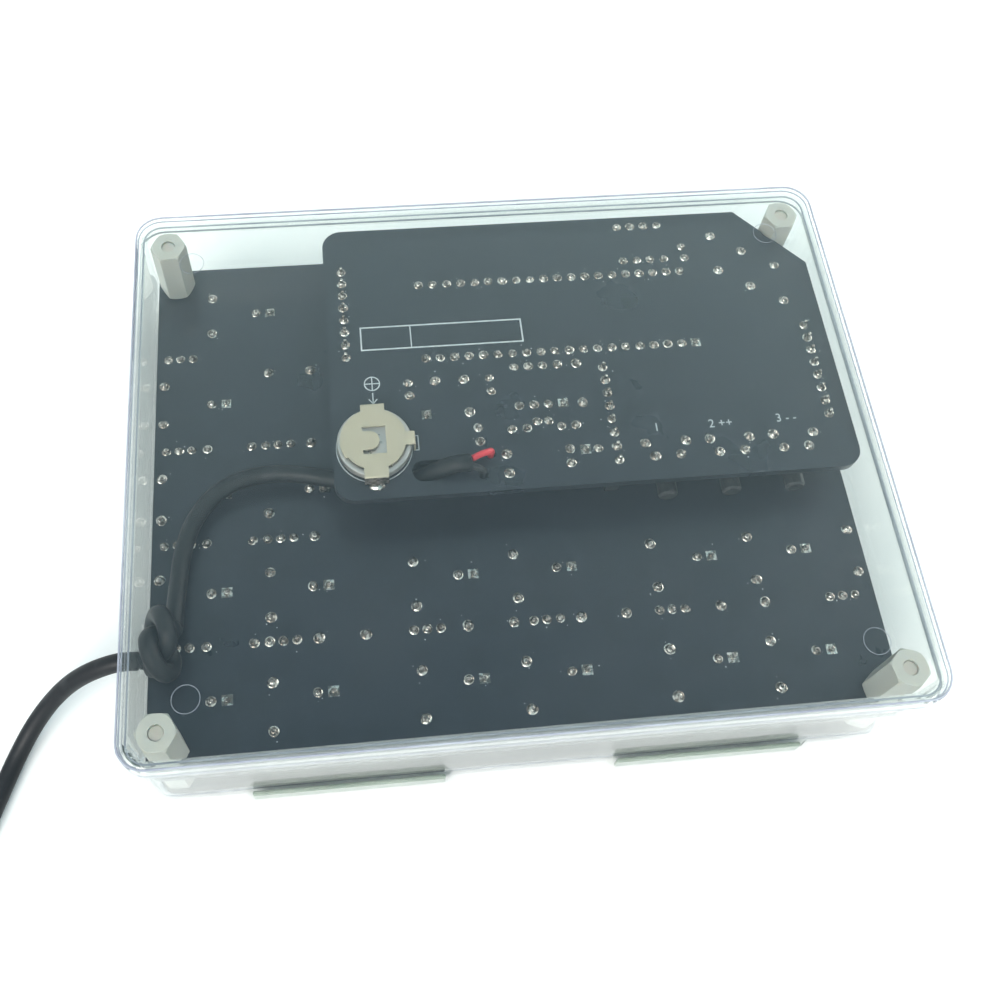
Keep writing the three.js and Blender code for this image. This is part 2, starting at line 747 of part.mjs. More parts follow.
switchShares.forEach((share, index) => {
  const at = onControl(share);
  const high = controlFront - seat;
  const low = high - switchHeight;
  const rear = at.y + lugThickness;
  const face = rear - switchDepth;
  const middle = low + switchHeight / 2;
  const half = switchWidth / 2;
  const body = boxSolid(at.x - half, at.x + half, face, rear - lugThickness / 2, low, high);
  const bracket = new THREE.Shape();
  bracket.moveTo(at.x - lugSpread / 2 - lugThickness / 2, rear - lugDrop);
  bracket.lineTo(at.x - lugSpread / 2 + lugThickness / 2, rear - lugDrop);
  bracket.lineTo(at.x - lugSpread / 2 + lugThickness / 2, rear - lugThickness);
  bracket.lineTo(at.x + lugSpread / 2 - lugThickness / 2, rear - lugThickness);
  bracket.lineTo(at.x + lugSpread / 2 - lugThickness / 2, rear - lugDrop);
  bracket.lineTo(at.x + lugSpread / 2 + lugThickness / 2, rear - lugDrop);
  bracket.lineTo(at.x + lugSpread / 2 + lugThickness / 2, rear);
  bracket.lineTo(at.x - lugSpread / 2 - lugThickness / 2, rear);
  bracket.closePath();
  const frame = slab(bracket, middle, high - seat / 2);
  const wellRadius = plungerRadius + seat;
  const wellDepth = plungerEntry + plungerTravel + seat;
  const well = new THREE.CylinderGeometry(wellRadius, wellRadius, 2 * wellDepth, 14);
  const tool = solid(well.translate(at.x, face, middle));
  add('push_switch_' + (index + 1), cut(joined(body, frame), tool), 'blackPlastic');

  const tip = face - plungerReach;
  const stemLength = plungerReach + plungerEntry - plungerFlange;
  const stem = new THREE.CylinderGeometry(plungerRadius, plungerRadius, stemLength, 14);
  const cap = new THREE.CylinderGeometry(plungerRadius, plungerRadius - plungerFlange, plungerFlange, 14);
  stem.translate(at.x, (tip + plungerFlange + face + plungerEntry) / 2, middle);
  cap.translate(at.x, tip + plungerFlange / 2, middle);
  add('push_button_' + (index + 1), joined(solid(stem), solid(cap)), 'blackPlastic');
});

// Coin cell and its clip, on the rear of the control board
const cellRadius = 6.25;
const cellHeight = 2;
const cellStep = 0.55;
const clipSheet = 0.3;
const clipRadius = 5.7;
const clipSlip = 0.25;
const clipRise = 0.3;
const wideTab = 4;
const narrowTab = 2.4;
const tongueWidth = 3.4;
const tongueLength = 2.8;
const windowWidth = 3.9;
const windowHeight = 5;
const cellLow = controlRear + seat;
const cellHigh = cellLow + cellHeight;
const clipLow = cellHigh + clipRise;
const clipHigh = clipLow + clipSheet;

function coinCell() {
  const step = cellHeight / 4;
  const neck = cellRadius - cellStep;
  const lower = [[0, cellLow], [neck, cellLow], [neck, cellLow + step], [cellRadius, cellLow + step]];
  const upper = [[cellRadius, cellHigh - step / 2], [cellRadius - step / 2, cellHigh], [0, cellHigh]];
  const profile = [...lower, ...upper];
  return turned(profile, 28, cellAt.x, cellAt.y);
}

function batteryClip() {
  const reach = cellRadius + clipSlip + clipSheet;
  const disc = rodSolid(cellAt.x, cellAt.y, clipLow, clipHigh, clipRadius, clipRadius, 28);
  const x = cellAt.x;
  const y = cellAt.y;
  const footLow = controlRear + seat;
  const tabs = [
    boxSolid(x - wideTab / 2, x + wideTab / 2, y - reach, y + reach, clipLow, clipHigh),
    boxSolid(x - wideTab / 2, x + wideTab / 2, y + reach - clipSheet, y + reach, footLow, clipHigh),
    boxSolid(x - wideTab / 2, x + wideTab / 2, y - reach, y - reach + clipSheet, footLow, clipHigh),
    boxSolid(x, x + reach, y - narrowTab / 2, y + narrowTab / 2, clipLow, clipHigh),
    boxSolid(x + reach - clipSheet, x + reach, y - narrowTab / 2, y + narrowTab / 2, footLow, clipHigh),
  ];
  const halfWidth = windowWidth / 2;
  const halfHeight = windowHeight / 2;
  const opening = roundedRectangle(x - halfWidth, x + halfWidth, y - halfHeight, y + halfHeight, clipSheet);
  const tongue = new THREE.Shape();
  const tongueRound = tongueWidth / 2;
  tongue.moveTo(x - windowWidth, y - tongueRound);
  tongue.lineTo(x - halfWidth + tongueLength - tongueRound, y - tongueRound);
  tongue.absarc(x - halfWidth + tongueLength - tongueRound, y, tongueRound, -turn / 4, turn / 4);
  tongue.lineTo(x - windowWidth, y + tongueRound);
  tongue.closePath();
  const window = slab(opening, clipLow - overrun, clipHigh + overrun, 2);
  const kept = slab(tongue, clipLow - 2 * overrun, clipHigh + 2 * overrun, 8);
  return cut(joined(disc, ...tabs), cut(window, kept));
}

add('coin_cell', coinCell(), 'cellMetal');
add('battery_clip', batteryClip(), 'clipMetal');

// Control board: cut corner with a bite for the post, slot for the lead, two wire holes
const slotWidth = 2 * cordHoleRadius;
const slotLength = 2 * slotWidth;
const slotRoundShare = 0.476;
const wireRadius = 0.55;
const wireHoleRadius = wireRadius + seat;
const postClearance = 0.4;

const controlPartShares = [
  [[0.151, 0.394], [0.152, 0.347]],
  [[0.309, 0.394], [0.31, 0.345]],
  [[0.483, 0.428], [0.484, 0.283]],
  [[0.277, 0.218], [0.277, 0.17]],
  [[0.435, 0.205], [0.463, 0.206]],
  [[0.444, 0.123], [0.443, 0.075]],
  [[0.498, 0.119]],
  [[0.745, 0.862], [0.746, 0.816]],
  [[0.812, 0.9], [0.811, 0.758]],
  [[0.869, 0.832], [0.87, 0.687]],
  [[0.931, 0.766], [0.931, 0.622]],
  [[0.324, 0.121], [0.324, 0.055]],
  [[0.34, 0.205], [0.369, 0.205]],
];
const squarePartShares = [[0.474, 0.119]];

function controlJoints() {
  const side = mcuPinCount / 2;
  const joints = [
    ...pinRow(mcuAt.x, mcuAt.y, side, pitch, 0, side - 1),
    ...pinRow(mcuAt.x, mcuAt.y + mcuRows, side, pitch, 0),
    ...pinRow(lowerChipAt.x, lowerChipAt.y, 4, pitch, 0, 3),
    ...pinRow(lowerChipAt.x, lowerChipAt.y + chipRows, 4, pitch, 0),
    ...pinRow(upperChipAt.x, upperChipAt.y, 4, pitch, 0),
    ...pinRow(upperChipAt.x, upperChipAt.y + chipRows, 4, pitch, 0),
    ...pinRow(crystalAt.x, crystalAt.y, 2, crystalLegs, 0),
    ...pinRow(watchCrystalAt.x, watchCrystalAt.y, 2, watchCrystalLegs, 0),
    ...pinRow(diodeAt.x, diodeAt.y, 2, diodeLegs, 0, 0),
    ...Object.keys(headerShares).flatMap(stripJoints),
    ...controlPartShares.flat().map(onControl),
    ...squarePartShares.map((share) => ({ ...onControl(share), square: true })),
  ];
  for (const share of switchShares) {
    const at = onControl(share);
    joints.push(...pinRow(at.x - lugSpread / 2, at.y, 2, lugSpread, 0));
    joints.push(...pinRow(at.x - pinSpread / 2, at.y - lugDrop, 2, pinSpread, 0));
  }
  return joints;
}

function controlBoard() {
  const x0 = controlLeft;
  const x1 = controlLeft + controlWidth;
  const y0 = controlLow;
  const y1 = controlLow + controlHeight;
  const radius = controlCorner;
  const outline = new THREE.Shape();
  outline.moveTo(x0 + radius, y0);
  outline.lineTo(x1 - radius, y0);
  outline.absarc(x1 - radius, y0 + radius, radius, -turn / 4, 0);
  outline.lineTo(x1, y1 - chamferHeight);
  outline.lineTo(x1 - chamferWidth, y1);
  outline.lineTo(x0 + radius, y1);
  outline.absarc(x0 + radius, y1 - radius, radius, turn / 4, turn / 2);
  outline.lineTo(x0, y0 + radius);
  outline.absarc(x0 + radius, y0 + radius, radius, turn / 2, turn * 3 / 4);
  const joints = controlJoints().map((joint) => jointCone(joint, controlRear, 5));
  const half = slotLength / 2;
  const slotLow = slotAt.y - slotWidth / 2;
  const slotHigh = slotAt.y + slotWidth / 2;
  const slotRound = slotWidth * slotRoundShare;
  const slot = roundedRectangle(slotAt.x - half, slotAt.x + half, slotLow, slotHigh, slotRound);
  const low = controlFront - overrun;
  const high = controlRear + overrun;
  const tools = [slab(slot, low, high, 4)];
  for (const hole of [redHole, blackHole]) {
    tools.push(rodSolid(hole.x, hole.y, low, high, wireHoleRadius, wireHoleRadius, 10));
  }
  const bite = hexRadius + postClearance;
  tools.push(rodSolid(postX, postY, low, high, bite, bite, 24));
  return cut(joined(slab(outline, controlFront, controlRear, 5), ...joints), ...tools);
}

add('control_board', controlBoard(), 'boardMask');

// Lead inside the case: through the wall, an overhand knot, then up and under the control board.
// The knot is the open part of a (2, 3) torus knot, turned so that both ends leave it downwards.
const knotScale = 1.8;
const knotRing = 2.2;
const knotTube = 1;
const knotDepth = 1;
const knotOpening = 0.15;
const knotPoints = 30;
const knotInset = 4.8;
const knotRise = 3.2;
const knotLift = 5.1;
const wallOuter = -caseWidth / 2;
const knotX = wallOuter + knotInset;
const knotCentre = new THREE.Vector3(knotX, cordHoleY + knotRise, cordHoleLevel + knotLift);

function knotPoint(share) {
  const angle = turn * (knotOpening / 2 + share * (1 - knotOpening));
  const reach = knotRing + knotTube * Math.cos(3 * angle);
  const across = knotScale * reach * Math.cos(2 * angle);
  const along = knotScale * reach * Math.sin(2 * angle);
  const through = knotScale * knotDepth * Math.sin(3 * angle);
  return new THREE.Vector3(knotCentre.x + through, knotCentre.y + along, knotCentre.z - across);
}

const leadStart = [
  new THREE.Vector3(wallOuter, cordHoleY, cordHoleLevel),
  new THREE.Vector3(wallOuter + cordRadius, cordHoleY, cordHoleLevel),
];

// From the knot to the slot, as shares of the way in plan and of the rise to the board's rear
const leadShares = [
  [0.02, 0.224, 0.125], [0.027, 0.42, 0.038], [0.045, 0.667, 0.05], [0.093, 0.904, 0.075],
  [0.179, 1.092, 0.1], [0.297, 1.186, 0.125], [0.442, 1.19, 0.15], [0.587, 1.128, 0.175],
  [0.727, 1.047, 0.2], [0.845, 1.007, 0.288],
];
const leadRun = leadShares.map(([shareX, shareY, shareRise]) => {
  const x = THREE.MathUtils.lerp(knotCentre.x, slotAt.x, shareX);
  const y = THREE.MathUtils.lerp(knotCentre.y, slotAt.y, shareY);
  return new THREE.Vector3(x, y, THREE.MathUtils.lerp(cordHoleLevel, controlRear, shareRise));
});

// Up through the slot, from its middle at the rear of the control board
const slotRoute = [[-2.63, -0.05, -3], [0.97, -0.05, 0.4], [3.57, 0.05, 1.8], [5.97, 0.15, 1.8]];
const slotRun = slotRoute.map(([x, y, z]) => {
  return new THREE.Vector3(slotAt.x + x, slotAt.y + y, controlRear + z);
});
const sheathEnd = slotRun[slotRun.length - 1];

const knotRun = Array.from({ length: knotPoints + 1 }, (_, i) => knotPoint(1 - i / knotPoints));
const leadPoints = [...leadStart, ...knotRun, ...leadRun, ...slotRun];
const leadCurve = new THREE.CatmullRomCurve3(leadPoints, false, 'centripetal');
add('cord_inside', tubeGeometry(leadCurve, cordRadius, 8, 90), 'cordRubber');
console.log('knot least gap', leastGap(leadCurve, cordRadius, 6 * cordRadius).toFixed(2));

// Red and black cores, from the end of the sheath down into their holes
function core(hole, side) {
  const { x, y, z } = sheathEnd;
  const start = new THREE.Vector3(x + seat, y + side * (wireRadius + seat / 2), z);
  const over = new THREE.Vector3((start.x + hole.x) / 2, (start.y + hole.y) / 2, z);
  const above = new THREE.Vector3(hole.x, hole.y, controlRear + 2 * wireRadius);
  const bend = new THREE.Vector3(hole.x - wireRadius, hole.y - side * wireRadius / 2, z - wireRadius / 2);
  const end = new THREE.Vector3(hole.x, hole.y, controlFront + seat);
  const curve = new THREE.CatmullRomCurve3([start, over, bend, above, end], false, 'centripetal');
  return tubeGeometry(curve, wireRadius, 8, 12);
}

add('wire_red', core(redHole, 1), 'redWire');
add('wire_black', core(blackHole, -1), 'cordRubber');

// Free cord: out of the wall, down to the floor and out of the photograph to the left
const floorGap = 0.1;
const floorLevel = cordRadius + floorGap;
const cordExit = [
  new THREE.Vector3(wallOuter - seat, cordHoleY, cordHoleLevel),
  new THREE.Vector3(wallOuter - seat - 2 * cordRadius, cordHoleY, cordHoleLevel),
];

// Steps out from the wall and down the picture from the hole, with the height over the floor
const cordRoute = [
  [-9, -0.6, 11.6], [-14.1, -2, 6.6], [-18.3, -5.2, 2.6], [-21.4, -9.8, 0.4],
  [-23.7, -15.4, 0], [-26.7, -22.8, 0], [-31.1, -29.6, 0],
];
const cordRun = cordRoute.map(([x, y, z]) => {
  return new THREE.Vector3(wallOuter + x, cordHoleY + y, floorLevel + z);
});

// Coil: spirals in on the floor, climbs in the half turn where it reverses, and spirals out on top
const coilTurns = 3;
const coilPitch = 3.65;
const coilInner = 11.5;
const coilLift = 3.6;
const coilSteps = 24;
const coilSides = 6;
const coilLead = 10.5;
const coilAside = 59.5;
const coilBelow = 23.4;
const coilCentre = new THREE.Vector3(wallOuter - coilAside, cordHoleY - coilBelow, floorLevel);
const coilEntry = -0.72;
const coilTotal = 2 * coilTurns + 0.5;

function coilPoint(turns) {
  const climb = THREE.MathUtils.clamp((turns - coilTurns) * 2, 0, 1);
  const radius = coilInner + coilPitch * Math.abs(turns - coilTotal / 2);
  const angle = coilEntry - turns * turn;
  const x = coilCentre.x + radius * Math.cos(angle);
  const y = coilCentre.y + radius * Math.sin(angle);
  return new THREE.Vector3(x, y, coilCentre.z + coilLift * climb);
}

const coilCount = Math.round(coilTotal * coilSteps);
const coilRun = Array.from({ length: coilCount + 1 }, (_, i) => coilPoint(i / coilSteps));

function straightEnd(point, next, length) {
  return point.clone().add(point.clone().sub(next).setLength(length));
}

const coilStart = straightEnd(coilRun[0], coilRun[1], 2 * cordRadius);
const coilLast = coilRun.length - 1;
const coilEnd = straightEnd(coilRun[coilLast], coilRun[coilLast - 1], coilLead);
const coilCurve = new THREE.CatmullRomCurve3([coilStart, ...coilRun, coilEnd], false, 'centripetal');
add('cord_coil', tubeGeometry(coilCurve, cordRadius, coilSides, coilCount + 2), 'cordRubber');
console.log('coil least gap', leastGap(coilCurve, cordRadius, 6 * cordRadius).toFixed(2));
console.log('coil length', coilCurve.getLength().toFixed(0));

// The free stretch ends a seat away from the coil, square to its start
const coilDirection = coilRun[0].clone().sub(coilStart).normalize();
const meet = coilStart.clone().addScaledVector(coilDirection, -seat);
const approach = meet.clone().addScaledVector(coilDirection, -2 * cordRadius);
const cordPoints = [...cordExit, ...cordRun, approach, meet];
const cordCurve = new THREE.CatmullRomCurve3(cordPoints, false, 'centripetal');
add('cord', tubeGeometry(cordCurve, cordRadius, 8, 24), 'cordRubber');

// Plug on the cord's far end: a moulded grip and its metal shell
const gripLength = 24;
const gripWidth = 15.4;
const gripTaper = 6;
const shellWidth = 12;
const shellHeight = 4.5;
const shellLength = 12.5;
const shellSheet = 0.4;
const tongueRise = 1.8;
const plugAxis = coilEnd.clone().sub(coilRun[coilLast]).normalize();
const plugAngle = Math.atan2(plugAxis.y, plugAxis.x);
const plugBase = coilEnd.clone().addScaledVector(plugAxis, seat);
const gripHeight = 2 * (plugBase.z - seat / 2);

function plugGrip() {
  const outline = new THREE.Shape();
  const neck = 2 * cordRadius;
  outline.moveTo(0, -neck / 2);
  outline.lineTo(gripTaper, -neck);
  outline.lineTo(gripTaper + neck, -gripWidth / 2);
  outline.lineTo(gripLength, -gripWidth / 2);
  outline.lineTo(gripLength, gripWidth / 2);
  outline.lineTo(gripTaper + neck, gripWidth / 2);
  outline.lineTo(gripTaper, neck);
  outline.lineTo(0, neck / 2);
  outline.closePath();
  const bevel = gripHeight / 6;
  const geometry = new THREE.ExtrudeGeometry(outline, { depth: gripHeight - 2 * bevel, bevelSize: bevel / 3,
    bevelOffset: -bevel / 3, bevelThickness: bevel, bevelSegments: 1 });
  return geometry.translate(0, 0, bevel - gripHeight / 2);
}

function plugShell() {
  const start = gripLength + seat;
  const end = start + shellLength;
  const y = shellWidth / 2;
  const z = shellHeight / 2;
  const sheet = shellSheet;
  const shell = boxSolid(start, end, -y, y, -z, z);
  const inside = boxSolid(start + 2 * sheet, end + overrun, sheet - y, y - sheet, sheet - z, z - sheet);
  const low = 2 * sheet - z;
  const tongue = boxSolid(start, end - 2 * sheet, 2 * sheet - y, y - 2 * sheet, low, low + tongueRise);
  return geometryOf(joined(cut(shell, inside), tongue));
}

const grip = add('usb_grip', plugGrip(), 'blackPlastic');
const shell = add('usb_plug', plugShell(), 'cellMetal');
for (const mesh of [grip, shell]) {
  mesh.rotation.z = plugAngle;
  mesh.position.copy(plugBase);
}

export default clock;
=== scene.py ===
"""Binary clock lying face down in its clear case, with boards, lamps, cell clip and power lead."""

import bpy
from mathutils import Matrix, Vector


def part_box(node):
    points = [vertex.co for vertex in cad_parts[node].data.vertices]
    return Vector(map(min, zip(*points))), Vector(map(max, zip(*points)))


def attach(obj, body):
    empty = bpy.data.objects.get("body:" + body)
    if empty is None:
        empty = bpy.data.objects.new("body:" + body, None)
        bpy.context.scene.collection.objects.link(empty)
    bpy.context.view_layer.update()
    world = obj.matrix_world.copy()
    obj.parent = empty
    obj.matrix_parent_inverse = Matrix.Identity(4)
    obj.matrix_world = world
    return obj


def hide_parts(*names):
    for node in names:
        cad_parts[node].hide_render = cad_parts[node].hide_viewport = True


bl_info = {
    "name": "Binary clock",
    "version": (1, 0, 0),
    "blender": (4, 5, 0),
    "location": "View3D > Sidebar > Clock",
    "description": "Builds the looks of a binary clock around its packed solids",
    "category": "Add Mesh",
}

import math
import random

import bmesh
import bpy
from bpy.props import FloatProperty, FloatVectorProperty, PointerProperty
from mathutils import Matrix, Vector

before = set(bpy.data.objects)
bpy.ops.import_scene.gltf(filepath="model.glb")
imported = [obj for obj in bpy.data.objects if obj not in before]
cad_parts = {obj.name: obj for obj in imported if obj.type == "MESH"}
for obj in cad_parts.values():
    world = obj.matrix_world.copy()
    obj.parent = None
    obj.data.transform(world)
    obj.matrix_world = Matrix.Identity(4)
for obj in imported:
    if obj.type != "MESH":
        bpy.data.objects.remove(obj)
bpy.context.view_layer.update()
MM = 0.001
TURN = 2 * math.pi
UP = Vector((0, 0, 1))

# Levels shared with the solids, from the front face up
MAIN_FRONT = 12.4 * MM
MAIN_REAR = 14.0 * MM
CONTROL_FRONT = 22.6 * MM
CONTROL_REAR = 24.2 * MM
JOINT_TOP = 0.6 * MM
SEAT = 0.3 * MM
SHEET = 0.3 * MM


class ClockSizes(bpy.types.PropertyGroup):
    """Sizes that a user may change"""

    joint_radius: FloatProperty(
        name="Solder joint radius", description="Radius of a joint at its pad",
        default=0.96 * MM, unit="LENGTH", precision=5)
    joint_height: FloatProperty(
        name="Solder joint height", description="Height of a joint with its clipped lead",
        default=0.9 * MM, unit="LENGTH", precision=5)
    cord_radius: FloatProperty(
        name="Cord radius", description="Radius of the lead's sheath",
        default=1.5 * MM, unit="LENGTH", precision=5)
    core_radius: FloatProperty(
        name="Core radius", description="Radius of the red and black cores",
        default=0.55 * MM, unit="LENGTH", precision=5)
    cell_radius: FloatProperty(
        name="Cell radius", description="Radius of the coin cell",
        default=6.25 * MM, unit="LENGTH", precision=5)
    ink_height: FloatProperty(
        name="Ink height", description="Thickness of printed marks",
        default=0.03 * MM, unit="LENGTH", precision=5)
    lamp_radius: FloatProperty(
        name="Lamp radius", description="Radius of a lamp's lens",
        default=2.5 * MM, unit="LENGTH", precision=5)


class ClockColours(bpy.types.PropertyGroup):
    """Colours that a user may change"""

    plastic: FloatVectorProperty(
        name="Clear plastic", description="Tint of the case and the cover",
        subtype="COLOR", size=3, default=(0.80, 0.852, 0.835))
    mask: FloatVectorProperty(
        name="Board mask", description="Black solder mask",
        subtype="COLOR", size=3, default=(0.012, 0.015, 0.022))
    solder: FloatVectorProperty(
        name="Solder", description="Solder joints and pads",
        subtype="COLOR", size=3, default=(0.70, 0.665, 0.62))
    ink: FloatVectorProperty(
        name="Board print", description="Marks printed on the boards",
        subtype="COLOR", size=3, default=(0.50, 0.54, 0.56))
    nylon: FloatVectorProperty(
        name="Nylon", description="Stand-offs and spacers",
        subtype="COLOR", size=3, default=(0.44, 0.44, 0.405))
    clip: FloatVectorProperty(
        name="Cell clip", description="Spring sheet over the coin cell",
        subtype="COLOR", size=3, default=(0.455, 0.405, 0.305))
    sheath: FloatVectorProperty(
        name="Sheath", description="Black sheath of the lead",
        subtype="COLOR", size=3, default=(0.008, 0.010, 0.013))
    red_core: FloatVectorProperty(
        name="Red core", description="Red core of the lead",
        subtype="COLOR", size=3, default=(0.62, 0.03, 0.05))


def sizes():
    return bpy.context.scene.clock_sizes


def colours():
    return bpy.context.scene.clock_colours


def mm(*values):
    """A place or a size given in millimetres"""
    return Vector([value * MM for value in values])


# Finishes

CASE_IOR = 1.012
CASE_DENSITY = 128.0
CASE_CLEAR = (0.99, 0.995, 0.98)
# Painted shade of the clear plastic where its walls are seen edge-on
CASE_EDGE_SHADE = (0.70, 0.71, 0.77)
BLACK = (0.018, 0.018, 0.02)
TINNED = (0.66, 0.66, 0.67)
GILT = (0.78, 0.62, 0.30)
DUST = (0.4, 0.4, 0.4)


class Finish:
    """One material and its nodes, built from the shader back to the patterns"""

    def __init__(self, name, colour, roughness, metallic=0.0, **sockets):
        self.material = bpy.data.materials.new(name)
        self.material.use_nodes = True
        self.nodes = self.material.node_tree.nodes
        self.link = self.material.node_tree.links.new
        self.inputs = self.nodes["Principled BSDF"].inputs
        self.inputs["Base Color"].default_value = (*colour, 1.0)
        self.inputs["Roughness"].default_value = roughness
        self.inputs["Metallic"].default_value = metallic
        for key, value in sockets.items():
            self.inputs[key.replace("_", " ")].default_value = value
        self.place = self.node("TexCoord").outputs["Object"]

    def node(self, kind, **values):
        made = self.nodes.new("ShaderNode" + kind)
        for key, value in values.items():
            if hasattr(made, key):
                setattr(made, key, value)
            else:
                made.inputs[key.replace("_", " ")].default_value = value
        return made

    def noise(self, scale, detail, roughness=0.5, stretch=None):
        made = self.node("TexNoise", Scale=scale, Detail=detail, Roughness=roughness)
        source = self.place
        if stretch:
            mapping = self.node("Mapping", Scale=stretch)
            self.link(source, mapping.inputs["Vector"])
            source = mapping.outputs["Vector"]
        self.link(source, made.inputs["Vector"])
        return made.outputs["Fac"]

    def ramp(self, source, low, high, first=0.0, second=1.0):
        made = self.node("MapRange", From_Min=low, From_Max=high, To_Min=first, To_Max=second)
        self.link(source, made.inputs["Value"])
        return made.outputs["Result"]

    def mixed(self, factor, first, second):
        made = self.node("Mix", data_type="RGBA")
        self.link(factor, made.inputs[0])
        for socket, value in ((made.inputs[6], first), (made.inputs[7], second)):
            if isinstance(value, bpy.types.NodeSocket):
                self.link(value, socket)
            else:
                socket.default_value = (*value, 1.0)
        return made.outputs[2]

    def math(self, operation, first, second=0.0):
        made = self.node("Math", operation=operation)
        for socket, value in zip(made.inputs, (first, second)):
            if isinstance(value, bpy.types.NodeSocket):
                self.link(value, socket)
            else:
                socket.default_value = value
        return made.outputs[0]

    def axis(self, name):
        made = self.node("SeparateXYZ")
        self.link(self.place, made.inputs[0])
        return made.outputs[name]

    def distance_from(self, axis, centre):
        return self.math("ABSOLUTE", self.math("SUBTRACT", self.axis(axis), centre))

    def drives(self, socket, output):
        self.link(output, self.inputs[socket])

    def gloss(self, scale, detail, low, high):
        """Roughness that wanders between two values"""
        return self.ramp(self.noise(scale, detail), 0.3, 0.7, low, high)

    def bump(self, scale, height, strength):
        made = self.node("Bump", Distance=height * MM, Strength=strength)
        self.link(self.noise(scale, 3.0), made.inputs["Height"])
        self.drives("Normal", made.outputs["Normal"])

    def partly_metal(self, share, colour):
        """Metal of one colour where the share is 1, and black moulding elsewhere"""
        self.drives("Base Color", self.mixed(share, BLACK, colour))
        self.drives("Metallic", share)
        return self.material


# Finishes with one way of varying. Gloss: noise scale, detail, lowest and highest roughness.
# Clouds: noise scale, detail, where they start and are full, their share, their colour.
# Bump: noise scale, height in millimetres, strength. A colour's name stands for the user's own colour.
PLAIN_FINISHES = {
    # Painted shade: grey beads along the clear moulding's edges
    "plastic_edge": dict(
        colour=(0.42, 0.44, 0.52), roughness=0.25, Transmission_Weight=0.35, IOR=CASE_IOR,
        clouds=(120.0, 3.0, 0.35, 0.65, 1.0, (0.56, 0.59, 0.66))),
    "plastic_pad": dict(
        colour=(0.38, 0.44, 0.38), roughness=0.2, Transmission_Weight=0.3, IOR=CASE_IOR,
        clouds=(90.0, 3.0, 0.35, 0.65, 1.0, (0.48, 0.54, 0.48))),
    "solder": dict(
        colour="solder", roughness=0.25, metallic=1.0, gloss=(900.0, 3.0, 0.16, 0.4),
        clouds=(1300.0, 3.0, 0.44, 0.54, 1.0, (0.20, 0.175, 0.155)), bump=(1300.0, 0.18, 0.9)),
    # Painted reflection: dark metal on the ends of the leads in the joints and on the clip's bent sides
    "lead_end": dict(
        colour=(0.14, 0.12, 0.11), roughness=0.4, metallic=1.0, gloss=(1200.0, 2.0, 0.3, 0.55),
        clouds=(1500.0, 2.0, 0.4, 0.6, 1.0, (0.4, 0.36, 0.34))),
    "ink": dict(colour="ink", roughness=0.6, clouds=(1800.0, 2.0, 0.35, 0.65, 0.35, (0.30, 0.33, 0.35))),
    "nylon": dict(
        colour="nylon", roughness=0.42, bump=(900.0, 0.03, 0.4),
        clouds=(220.0, 3.0, 0.3, 0.7, 0.35, (0.49, 0.485, 0.45)),
        Subsurface_Weight=0.35, Subsurface_Scale=2.0 * MM, Subsurface_Radius=(1.0, 0.8, 0.6)),
    # Painted shade: the bottom of a stand-off's hole, darker and warmer than the nylon
    "nylon_core": dict(
        colour=(0.45, 0.41, 0.365), roughness=0.5, Subsurface_Weight=0.3, Subsurface_Scale=2.0 * MM,
        clouds=(300.0, 3.0, 0.3, 0.7, 0.5, (0.47, 0.44, 0.40))),
    "clip_metal": dict(
        colour="clip", roughness=0.45, metallic=0.3, gloss=(500.0, 3.0, 0.38, 0.55),
        clouds=(260.0, 4.0, 0.4, 0.7, 0.35, (0.50, 0.455, 0.37))),
    "cell_metal": dict(
        colour=(0.52, 0.49, 0.465), roughness=0.32, metallic=0.7, gloss=(400.0, 3.0, 0.26, 0.42),
        clouds=(90.0, 3.0, 0.3, 0.7, 0.5, (0.44, 0.42, 0.405))),
    "pin_gold": dict(colour=GILT, roughness=0.28, metallic=1.0, gloss=(600.0, 2.0, 0.2, 0.4)),
    "black_plastic": dict(
        colour=BLACK, roughness=0.45, gloss=(500.0, 4.0, 0.36, 0.56), bump=(1400.0, 0.02, 0.5)),
    "sheath": dict(
        colour="sheath", roughness=0.5, gloss=(240.0, 3.0, 0.42, 0.6), bump=(900.0, 0.01, 0.3),
        clouds=(380.0, 4.0, 0.55, 0.75, 0.25, (0.05, 0.052, 0.06)), Specular_IOR_Level=0.35),
    "red_core": dict(
        colour="red_core", roughness=0.4, clouds=(300.0, 2.0, 0.3, 0.7, 0.4, (0.75, 0.08, 0.09))),
    "black_core": dict(colour="sheath", roughness=0.36, gloss=(300.0, 2.0, 0.3, 0.5)),
    "clear_lens": dict(
        colour=(0.97, 0.98, 1.0), roughness=0.05, gloss=(300.0, 2.0, 0.03, 0.09),
        Transmission_Weight=0.92, IOR=1.52),
    "banded_resistor": dict(
        colour=(0.50, 0.36, 0.20), roughness=0.35, Coat_Weight=0.4,
        clouds=(400.0, 2.0, 0.3, 0.7, 0.5, (0.58, 0.44, 0.27))),
    "brown_band": dict(colour=(0.12, 0.045, 0.02), roughness=0.4, gloss=(400.0, 2.0, 0.3, 0.5)),
    "gold_band": dict(
        colour=(0.55, 0.40, 0.14), roughness=0.35, metallic=0.7, gloss=(400.0, 2.0, 0.3, 0.5)),
    "ceramic": dict(
        colour=(0.58, 0.38, 0.12), roughness=0.35, bump=(700.0, 0.05, 0.4), Coat_Weight=0.3,
        clouds=(200.0, 2.0, 0.3, 0.7, 0.5, (0.66, 0.47, 0.18))),
}


def plain_finish(name, colour, roughness, metallic=0.0, gloss=None, clouds=None, bump=None, **sockets):
    """A finish of the table above"""
    colour = tuple(getattr(colours(), colour)) if isinstance(colour, str) else colour
    made = Finish(name, colour, roughness, metallic, **sockets)
    if gloss:
        made.drives("Roughness", made.gloss(*gloss))
    if clouds:
        scale, detail, start, full, share, other = clouds
        drift = made.ramp(made.noise(scale, detail), start, full, 0.0, share)
        made.drives("Base Color", made.mixed(drift, colour, other))
    if bump:
        made.bump(*bump)
    return made


